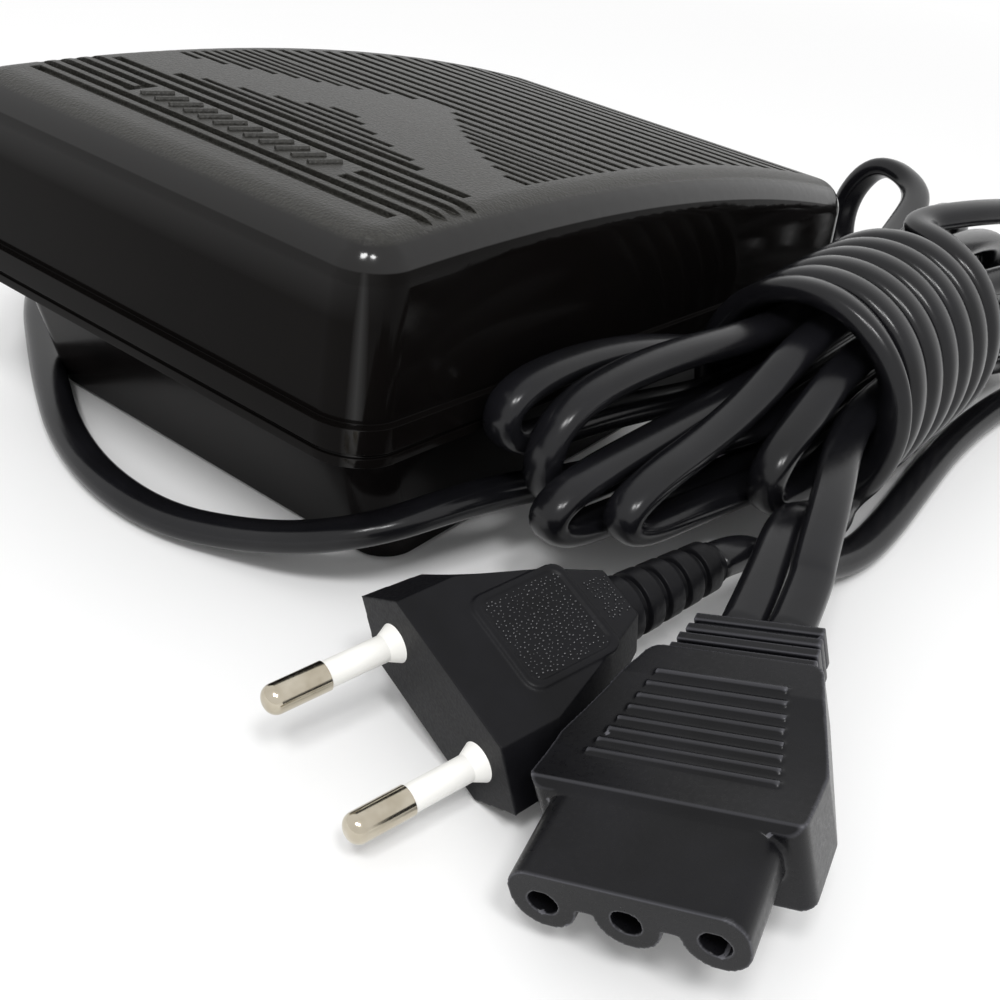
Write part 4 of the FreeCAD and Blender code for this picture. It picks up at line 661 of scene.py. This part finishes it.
def cover_material():
    material, tree, shader, place = new_material("satin_and_polished_abs")
    x, y, z = add(tree, "ShaderNodeSeparateXYZ", {"Vector": place}).outputs
    depth = depth_under_crown(tree, y, z)
    satin = add(tree, "ShaderNodeMapRange", [depth, *(v * MM for v in SATIN_FADE), 0, 1]).outputs[0]
    erosion = add(tree, "ShaderNodeTexNoise", {"Vector": place, "Scale": scale_for(EROSION_MM),
                                               "Detail": 3.0, "Roughness": NOISE_ROUGHNESS}).outputs["Fac"]
    drift = add(tree, "ShaderNodeTexNoise", {"Vector": place, "Scale": scale_for(TINT_MM), "Detail": 3.0,
                                             "Roughness": NOISE_ROUGHNESS}).outputs["Fac"]
    pits = add(tree, "ShaderNodeTexVoronoi", {"Vector": place, "Scale": scale_for(PIT_MM)}).outputs[0]
    drawn = add(tree, "ShaderNodeVectorMath", [place, SWIRL_STRETCH], operation="MULTIPLY").outputs[0]
    swirl = add(tree, "ShaderNodeTexNoise", {"Vector": drawn, "Scale": scale_for(SWIRL_MM), "Detail": 4.0,
                                             "Roughness": NOISE_ROUGHNESS}).outputs["Fac"]
    eroded = add(tree, "ShaderNodeMapRange", [erosion, *NARROW_SPREAD, 0, 1]).outputs[0]
    tints = [add(tree, "ShaderNodeMix", {"Factor": factor, "A": linear(dark), "B": linear(pale)},
                 data_type="RGBA").outputs["Result"]
             for factor, dark, pale in ((drift, "#080707", "#0e0c0b"), (eroded, "#191815", "#2b2a26"))]
    colour = add(tree, "ShaderNodeMix", {"Factor": satin, "A": tints[0], "B": tints[1]}, data_type="RGBA")
    glosses = [add(tree, "ShaderNodeMapRange", [pattern, *WIDE_SPREAD, *roughness]).outputs[0]
               for pattern, roughness in ((swirl, GLOSS_ROUGHNESS), (erosion, SATIN_ROUGHNESS))]
    gloss = add(tree, "ShaderNodeMix", {"Factor": satin, "A": glosses[0], "B": glosses[1]})
    pitted = add(tree, "ShaderNodeMath", [erosion, pits], operation="ADD").outputs[0]
    grain = add(tree, "ShaderNodeMath", [pitted, satin], operation="MULTIPLY").outputs[0]
    relief = add(tree, "ShaderNodeBump", {"Height": grain, "Distance": SATIN_BUMP_MM * MM,
                                          "Strength": 1.0}).outputs[0]
    fill(tree, shader, {"Base Color": colour.outputs["Result"], "Roughness": gloss.outputs["Result"],
                        "Normal": relief, "IOR": PLASTIC_IOR,
                        "Specular IOR Level": cover_shine(tree, x, y, depth)})
    return material


cover_abs = cover_material()
print("the cover's material has", len(cover_abs.node_tree.nodes), "nodes")

# %% [markdown]
# Pale and coloured plastics are inside the pedal, and only the pins' white sleeves show from outside. They
# are moulded as the black ones are, so the same function serves, with their own colours and grain.

# %% Pale and coloured plastics
# White insulation on the pins, softly shiny and quite even
sleeve_plastic = moulded_plastic("white_pin_insulation", "#ecebe6", "#f6f5f1", 0.42, 0.8, 0.006)
# Acetal is milky and waxy, so its highlights are wide
lever_acetal = moulded_plastic("natural_acetal", "#dcd7c8", "#e8e3d4", 0.5, 0.9, 0.008)
# Nylon is like it, a little whiter
terminal_nylon = moulded_plastic("off_white_nylon", "#e2ded3", "#eeeae0", 0.45, 0.8, 0.006)
# A dipped film capacitor has a thick yellow skin, uneven and glassy
film_dip = moulded_plastic("dipped_yellow_film", "#c08a1e", "#d9a12a", 0.24, 1.6, 0.02, coat=0.3)
# Filled epoxy is a gritty grey black
component_epoxy = moulded_plastic("black_component_epoxy", "#17191b", "#232629", 0.6, 0.3, 0.012)
# Ferrite is pressed powder, dry and stony
ferrite = moulded_plastic("sintered_ferrite", "#33353a", "#45484d", 0.7, 0.25, 0.02)
# The cores of the flex are plain brown PVC
core_insulation = moulded_plastic("brown_core_insulation", "#5a2d16", "#6e3a1e", 0.38, 0.8, 0.006)
print("made", sleeve_plastic.name, lever_acetal.name, "and five more")

# %% [markdown]
# Metals show their making: drawn wire and rod are streaked along their length, sheet is rolled, and the
# pins of the plug are turned and then nickel plated, which leaves faint rings round them. Stretching the
# noise along or across the piece draws all of these, and no picture is needed.

# %% Worked metals
STAIN_MM, STREAK_MM = 6.0, 0.8
STREAK_DEPTH_MM = 0.002
METAL_SWING = 0.3


def worked_metal(name, dark, pale, roughness, stretch):
    """Metal with cloudy stains, and streaks that are drawn out by the three factors of a stretch."""
    material, tree, shader, place = new_material(name)
    stain = add(tree, "ShaderNodeTexNoise", {"Vector": place, "Scale": scale_for(STAIN_MM), "Detail": 3.0,
                                             "Roughness": NOISE_ROUGHNESS}).outputs["Fac"]
    stain = add(tree, "ShaderNodeMapRange", [stain, *NARROW_SPREAD, 0, 1]).outputs[0]
    colour = add(tree, "ShaderNodeMix", {"Factor": stain, "A": linear(dark), "B": linear(pale)},
                 data_type="RGBA").outputs["Result"]
    drawn = add(tree, "ShaderNodeVectorMath", [place, stretch], operation="MULTIPLY").outputs[0]
    streaks = add(tree, "ShaderNodeTexNoise", {"Vector": drawn, "Scale": scale_for(STREAK_MM),
                                               "Detail": 4.0, "Roughness": NOISE_ROUGHNESS}).outputs["Fac"]
    gloss = add(tree, "ShaderNodeMapRange", [streaks, *WIDE_SPREAD, roughness * (1 - METAL_SWING),
                                             roughness * (1 + METAL_SWING)]).outputs[0]
    relief = add(tree, "ShaderNodeBump", {"Height": streaks, "Distance": STREAK_DEPTH_MM * MM,
                                          "Strength": 1.0}).outputs[0]
    fill(tree, shader, {"Base Color": colour, "Roughness": gloss, "Normal": relief, "Metallic": 1.0})
    return material


# Nickel over brass is bright and slightly warm, with rings from turning
pin_nickel = worked_metal("nickel_plated_brass", "#b3aa98", "#cdc6b6", 0.17, (0.6, 7.0, 0.6))
# Zinc plate is bluish and cloudy
zinc_steel = worked_metal("zinc_plated_steel", "#8f959b", "#b4babf", 0.34, (1.0, 1.0, 1.0))
# Drawn rod has fine lines along it, which stretch its highlights across
drawn_steel = worked_metal("drawn_steel_rod", "#9a9da0", "#b9bcbe", 0.26, (0.15, 5.0, 5.0))
# Spring wire is darker, with an oily grey shine
spring_wire = worked_metal("cold_drawn_spring_wire", "#75797d", "#8f9397", 0.3, (1.0, 1.0, 6.0))
# Rolled aluminium is pale and satin, with the mill's lines
rolled_aluminium = worked_metal("rolled_aluminium_sheet", "#b0b3b5", "#c4c7c8", 0.38, (4.0, 0.2, 4.0))
# Enamel deepens the copper of the winding to a glossy red brown
enamelled_copper = worked_metal("enamelled_copper_wire", "#9c4f26", "#bd6a38", 0.22, (1.0, 1.0, 5.0))
# Stamped brass keeps the streaks of the strip that it came from
contact_brass = worked_metal("stamped_contact_brass", "#a98b48", "#c2a45c", 0.28, (3.0, 0.4, 3.0))
print("made", pin_nickel.name, zinc_steel.name, "and five more")

# %% [markdown]
# The circuit board is phenolic paper, brown with the fibres of its paper showing, and the resistors have
# even colour rings under their lacquer. Both need only one pattern each: stretched noise for the fibres,
# and a wave texture along the length for the rings.

# %% Board laminate and banded resistors
FIBRE_MM, FIBRE_STRETCH = 0.5, (0.2, 3.0, 1.0)
RINGS_SCALE, RING_EDGE = 110.0, (0.86, 0.9)
BLOT_MM = 0.6
COATING_BUMP_MM = 0.01


def laminate_material():
    """Brown and slightly fibrous under a dull varnish."""
    material, tree, shader, place = new_material("phenolic_paper_laminate")
    drawn = add(tree, "ShaderNodeVectorMath", [place, FIBRE_STRETCH], operation="MULTIPLY").outputs[0]
    fibres = add(tree, "ShaderNodeTexNoise", {"Vector": drawn, "Scale": scale_for(FIBRE_MM), "Detail": 5.0,
                                              "Roughness": NOISE_ROUGHNESS}).outputs["Fac"]
    shade = add(tree, "ShaderNodeMapRange", [fibres, *WIDE_SPREAD, 0, 1]).outputs[0]
    colour = add(tree, "ShaderNodeMix", {"Factor": shade, "A": linear("#6e4a20"), "B": linear("#8a6130")},
                 data_type="RGBA").outputs["Result"]
    gloss = add(tree, "ShaderNodeMapRange", [fibres, *WIDE_SPREAD, 0.45, 0.6]).outputs[0]
    relief = add(tree, "ShaderNodeBump", {"Height": fibres, "Distance": COATING_BUMP_MM * MM,
                                          "Strength": 1.0}).outputs[0]
    fill(tree, shader, {"Base Color": colour, "Roughness": gloss, "Normal": relief})
    return material


def banded_lacquer():
    """A cream gloss with rings of brown under it."""
    material, tree, shader, place = new_material("banded_resistor_lacquer")
    wave = add(tree, "ShaderNodeTexWave", {"Vector": place, "Scale": RINGS_SCALE, "Distortion": 0.0},
               wave_type="BANDS", bands_direction="X").outputs["Fac"]
    rings = add(tree, "ShaderNodeMapRange", [wave, *RING_EDGE, 0, 1]).outputs[0]
    colour = add(tree, "ShaderNodeMix", {"Factor": rings, "A": linear("#cdb48a"), "B": linear("#6a2c18")},
                 data_type="RGBA").outputs["Result"]
    blots = add(tree, "ShaderNodeTexNoise", {"Vector": place, "Scale": scale_for(BLOT_MM), "Detail": 2.0,
                                             "Roughness": NOISE_ROUGHNESS}).outputs["Fac"]
    gloss = add(tree, "ShaderNodeMapRange", [blots, *WIDE_SPREAD, 0.3, 0.42]).outputs[0]
    relief = add(tree, "ShaderNodeBump", {"Height": blots, "Distance": COATING_BUMP_MM * MM,
                                          "Strength": 1.0}).outputs[0]
    fill(tree, shader, {"Base Color": colour, "Roughness": gloss, "Normal": relief})
    return material


board_laminate = laminate_material()
resistor_lacquer = banded_lacquer()
print("made", board_laminate.name, "and", resistor_lacquer.name)

# %% [markdown]
# ## Dressing
# Every piece gets the one material that it is made of. A name stands for a node of the model that shows as
# it is, and the rest are the pieces made above.

# %% Dress the pieces


def dress(material, *pieces):
    for piece in pieces:
        mesh = nodes[piece].data if isinstance(piece, str) else piece.data
        mesh.materials.clear()
        mesh.materials.append(material)
    print(material.name, "dresses", len(pieces))


dress(cover_abs, cover_shell)
dress(base_abs, tub_shell)
dress(flex_pvc, pedal_flex, mains_flex, "inner_lead", "cord_gland")
dress(plug_pvc, plug_shell, relief_shell)
dress(connector_pvc, connector_shell, collar_shell)
dress(foot_rubber, "rubber_feet")
dress(sleeve_plastic, "pin_sleeves")
dress(lever_acetal, "drive_lever", "potentiometer_slider")
dress(terminal_nylon, "terminal_block", "cord_clamp")
dress(film_dip, "suppression_capacitor")
dress(component_epoxy, "potentiometer_case", "triac", "timing_capacitor")
dress(ferrite, "choke_core")
dress(core_insulation, "lead_cores", "board_wires")
dress(pin_nickel, "plug_pins")
dress(zinc_steel, "board_screws", "terminal_screws", "clamp_screws", "triac_screw", "lever_bracket")
dress(drawn_steel, "hinge_pin", "lever_pivot_pin", "pin_clips")
dress(spring_wire, *springs)
dress(rolled_aluminium, "heat_sink")
dress(enamelled_copper, "choke_winding")
dress(contact_brass, "connector_contacts")
dress(board_laminate, "circuit_board")
dress(resistor_lacquer, "resistors")

# %% [markdown]
# ## What repeats, with Geometry Nodes
# Two things repeat: a row of slanted bars in the bare panel of the crown, and the stipple on the plug,
# hundreds of grains that give the fingers a hold. Each is a small node tree with named inputs, so that its
# count, pitch or seed can be changed in one place. The tree runs once, and its result becomes a plain mesh.

# %% Node tree helpers


def geometry_tree(name, **inputs):
    """A tree with one geometry output and the named number inputs; returns it with its input node."""
    tree = bpy.data.node_groups.new(name, "GeometryNodeTree")
    tree.interface.new_socket("Geometry", in_out="OUTPUT", socket_type="NodeSocketGeometry")
    for label, value in inputs.items():
        kind = "NodeSocketInt" if isinstance(value, int) else "NodeSocketFloat"
        socket = tree.interface.new_socket(label, in_out="INPUT", socket_type=kind)
        socket.default_value = value
    return tree, tree.nodes.new("NodeGroupInput").outputs


def finish_tree(tree, geometry, material):
    whole = add(tree, "GeometryNodeRealizeInstances", {"Geometry": geometry}).outputs["Geometry"]
    painted = add(tree, "GeometryNodeSetMaterial", {"Geometry": whole, "Material": material})
    add(tree, "NodeGroupOutput", {"Geometry": painted.outputs["Geometry"]})


def grown(name, tree, matrix, body):
    """Run a tree once, keep its result as a mesh in its place, and let it ride."""
    piece = bpy.data.objects.new(name, bpy.data.meshes.new(name))
    bpy.context.scene.collection.objects.link(piece)
    piece.modifiers.new("grow", "NODES").node_group = tree
    apply_modifiers(piece)
    piece.data.transform(matrix)
    piece.data.shade_smooth()
    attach(piece, body)
    print(name, len(piece.data.polygons), "faces")
    return piece


print("tree helpers ready")

# %% [markdown]
# ## Bars in the panel
# The crown of such a pedal has a bare framed panel near the toe. Here it holds a row of plain slanted bars,
# raised from the plastic. Each bar is a short line with a round section, placed by a mesh line and turned
# by the slant, and the row is tipped to the slope that the crown has there.

# %% Slanted bars in the panel of the crown
BAR_COUNT, BAR_PITCH, BAR_LENGTH, BAR_RADIUS = 12, 3.3, 5.2, 0.55
BAR_SINK, BAR_SECTION_POINTS = 0.14, 14
BAR_SLANT = math.radians(24.0)
PANEL_MIDDLE_Y = 55.5


def slanted_bars():
    tree, given = geometry_tree("slanted_bars", Count=BAR_COUNT, Pitch=BAR_PITCH * MM,
                                Length=BAR_LENGTH * MM, Radius=BAR_RADIUS * MM)
    step = add(tree, "ShaderNodeCombineXYZ", {"X": given["Pitch"]}).outputs["Vector"]
    spots = add(tree, "GeometryNodeMeshLine", {"Count": given["Count"], "Offset": step}).outputs["Mesh"]
    end = add(tree, "ShaderNodeCombineXYZ", {"Y": given["Length"]}).outputs["Vector"]
    stroke = add(tree, "GeometryNodeCurvePrimitiveLine", {"Start": (0, 0, 0), "End": end}).outputs["Curve"]
    circle = add(tree, "GeometryNodeCurvePrimitiveCircle",
                 {"Resolution": BAR_SECTION_POINTS, "Radius": given["Radius"]}).outputs["Curve"]
    bar = add(tree, "GeometryNodeCurveToMesh",
              {"Curve": stroke, "Profile Curve": circle, "Fill Caps": True}).outputs["Mesh"]
    row = add(tree, "GeometryNodeInstanceOnPoints",
              {"Points": spots, "Instance": bar, "Rotation": (0, 0, -BAR_SLANT)}).outputs["Instances"]
    finish_tree(tree, row, cover_abs)
    return tree


def bars_place():
    """The first bar's foot, which puts the middle of the row in the middle of the panel."""
    rise = (CROWN_PEAK_Y - PANEL_MIDDLE_Y) / CROWN_RADIUS
    crown_z = CROWN_HEIGHT - CROWN_RADIUS * (1 - math.cos(rise))
    start = Vector((-BAR_PITCH * (BAR_COUNT - 1) / 2 - BAR_LENGTH / 2 * math.sin(BAR_SLANT),
                    PANEL_MIDDLE_Y - BAR_LENGTH / 2 * math.cos(BAR_SLANT), crown_z - BAR_SINK))
    return Matrix.Translation(start * MM) @ Matrix.Rotation(rise, 4, "X")


grown("panel_bars", slanted_bars(), bars_place(), "treadle")

# %% [markdown]
# ## Stipple on the plug
# The framed field on the plug and the neck behind it are covered in small round grains. Poisson spacing
# scatters them evenly and without a pattern, as a spark-eroded mould does, and each grain is a ball that is
# half sunk. The real grains are finer still, and these are as coarse as they need to be to show.

# %% Scatter the grains
GRAIN_RADIUS, GRAIN_GAP = 0.17, 0.46
GRAIN_SIZES = (0.6, 1.15)
GRAIN_DENSITY = 8.0e6
DISH_FIELD, DISH_PLACE = (12.2, 12.0), (0, -15.5, 6.93)
NECK_FIELD, NECK_PLACE, NECK_SLOPE = (6.6, 4.0), (0, -26.3, 6.04), math.radians(8.6)


def stipple(name, width, depth, seed):
    tree, given = geometry_tree(name, Width=width * MM, Depth=depth * MM, Gap=GRAIN_GAP * MM, Seed=seed)
    patch = add(tree, "GeometryNodeMeshGrid", {"Size X": given["Width"], "Size Y": given["Depth"],
                                               "Vertices X": 2, "Vertices Y": 2}).outputs["Mesh"]
    spots = add(tree, "GeometryNodeDistributePointsOnFaces",
                {"Mesh": patch, "Distance Min": given["Gap"], "Density Max": GRAIN_DENSITY,
                 "Seed": given["Seed"]}, distribute_method="POISSON").outputs["Points"]
    grain = add(tree, "GeometryNodeMeshIcoSphere", {"Radius": GRAIN_RADIUS * MM, "Subdivisions": 2})
    size = add(tree, "FunctionNodeRandomValue", {"Seed": given["Seed"]}, data_type="FLOAT")
    size.inputs[2].default_value, size.inputs[3].default_value = GRAIN_SIZES
    grains = add(tree, "GeometryNodeInstanceOnPoints",
                 {"Points": spots, "Instance": grain.outputs["Mesh"], "Scale": size.outputs[1]})
    finish_tree(tree, grains.outputs["Instances"], stipple_pvc)
    return tree


plug_place = pose_matrix(PLUG)
dish_place = Matrix.Translation(Vector(DISH_PLACE) * MM)
neck_place = Matrix.Translation(Vector(NECK_PLACE) * MM) @ Matrix.Rotation(NECK_SLOPE, 4, "X")
plug_stipple = grown("plug_stipple", stipple("plug_stipple", *DISH_FIELD, seed=3), plug_place @ dish_place,
                     "root")
neck_stipple = grown("neck_stipple", stipple("neck_stipple", *NECK_FIELD, seed=5), plug_place @ neck_place,
                     "root")

# %% [markdown]
# ## The leads' fittings
# Both leads end in their fittings, the plug on the mains lead and the connector on both, and the softened
# pieces that stand for those are named here.

print("the leads carry", connector_shell.name, "and", plug_shell.name)

# %% [markdown]
# ## Floor
# The pedal stands on plain white paper, which takes its shadow. Away from the pedal the paper fades to an
# even white for the camera and for reflections, and the world behind it is the same white, so they meet
# without a line. More light would whiten the paper too, but it would also wash out the blacks.

# %% White paper floor
FLOOR_HALF = 3.0
FLOOR_FADE = (0.2, 0.5)
PAPER_FIBRE_MM, PAPER_BUMP_MM, PAPER_ROUGHNESS = 0.6, 0.01, (0.75, 0.9)
WHITE = (1, 1, 1, 1)


def seen_directly(tree):
    """1 where the camera sees a surface, straight or in a reflection, and 0 where it only lights others."""
    ray = add(tree, "ShaderNodeLightPath")
    seen = ray.outputs["Is Camera Ray"]
    for kind in ("Is Glossy Ray", "Is Transmission Ray"):
        seen = add(tree, "ShaderNodeMath", [seen, ray.outputs[kind]], operation="MAXIMUM").outputs[0]
    return seen


def paper_material():
    material, tree, shader, place = new_material("white_paper_floor")
    fibre = add(tree, "ShaderNodeTexNoise", {"Vector": place, "Scale": scale_for(PAPER_FIBRE_MM),
                                             "Detail": 4.0, "Roughness": NOISE_ROUGHNESS}).outputs["Fac"]
    matt = add(tree, "ShaderNodeMapRange", [fibre, *WIDE_SPREAD, *PAPER_ROUGHNESS]).outputs[0]
    relief = add(tree, "ShaderNodeBump", {"Height": fibre, "Distance": PAPER_BUMP_MM * MM,
                                          "Strength": 1.0}).outputs[0]
    fill(tree, shader, {"Base Color": linear("#f6f6f6"), "Roughness": matt, "Normal": relief})
    away = add(tree, "ShaderNodeVectorMath", [place], operation="LENGTH").outputs["Value"]
    fade = add(tree, "ShaderNodeMapRange", [away, *FLOOR_FADE, 0, 1]).outputs[0]
    shown = add(tree, "ShaderNodeMath", [fade, seen_directly(tree)], operation="MULTIPLY").outputs[0]
    white = add(tree, "ShaderNodeEmission", {"Color": WHITE, "Strength": 1.0}).outputs[0]
    mix = add(tree, "ShaderNodeMixShader", [shown, shader.outputs[0], white])
    fill(tree, tree.nodes["Material Output"], {"Surface": mix.outputs[0]})
    return material


def make_floor():
    mesh = bpy.data.meshes.new("floor")
    corners = [(-FLOOR_HALF, -FLOOR_HALF, 0), (FLOOR_HALF, -FLOOR_HALF, 0), (FLOOR_HALF, FLOOR_HALF, 0),
               (-FLOOR_HALF, FLOOR_HALF, 0)]
    mesh.from_pydata(corners, [], [(0, 1, 2, 3)])
    mesh.materials.append(paper_material())
    floor = bpy.data.objects.new("floor", mesh)
    bpy.context.scene.collection.objects.link(floor)
    print("floor", 2 * FLOOR_HALF, "m wide")


make_floor()

# %% [markdown]
# ## Light and world
# A soft white sky does most of the lighting. Two round lamps stand side by side beyond the toe, because the
# photograph shows their twin glints on the near corner of the cover. For the camera the sky is full white,
# and for everything that it lights it is a little dimmer.

# %% Lamps and sky
SKY_STRENGTH = 0.82
LAMP_SIZE, LAMP_POWER = 0.19, 2.6
LAMP_AIM = Vector((-0.03, 0.02, 0.02))
LAMP_PLACES = {"left_round_lamp": Vector((-0.22, 0.56, 0.85)),
               "right_round_lamp": Vector((-0.46, 0.40, 0.85))}


def make_lamp(name, place):
    data = bpy.data.lights.new(name, "AREA")
    data.shape = "DISK"
    data.size = LAMP_SIZE
    data.energy = LAMP_POWER
    lamp = bpy.data.objects.new(name, data)
    bpy.context.scene.collection.objects.link(lamp)
    lamp.location = place
    lamp.rotation_mode = "QUATERNION"
    lamp.rotation_quaternion = (LAMP_AIM - place).to_track_quat("-Z", "Y")
    print(name, round((LAMP_AIM - place).length, 2), "m from the pedal")


def make_world():
    world = bpy.data.worlds.new("studio")
    bpy.context.scene.world = world
    world.use_nodes = True
    tree = world.node_tree
    tree.nodes.clear()
    sky, backdrop = (add(tree, "ShaderNodeBackground", {"Color": WHITE, "Strength": strength}).outputs[0]
                     for strength in (SKY_STRENGTH, 1.0))
    mix = add(tree, "ShaderNodeMixShader", [seen_directly(tree), sky, backdrop])
    add(tree, "ShaderNodeOutputWorld", {"Surface": mix.outputs[0]})


for lamp_name, lamp_place in LAMP_PLACES.items():
    make_lamp(lamp_name, lamp_place)
make_world()
bpy.context.scene.view_settings.view_transform = "Standard"
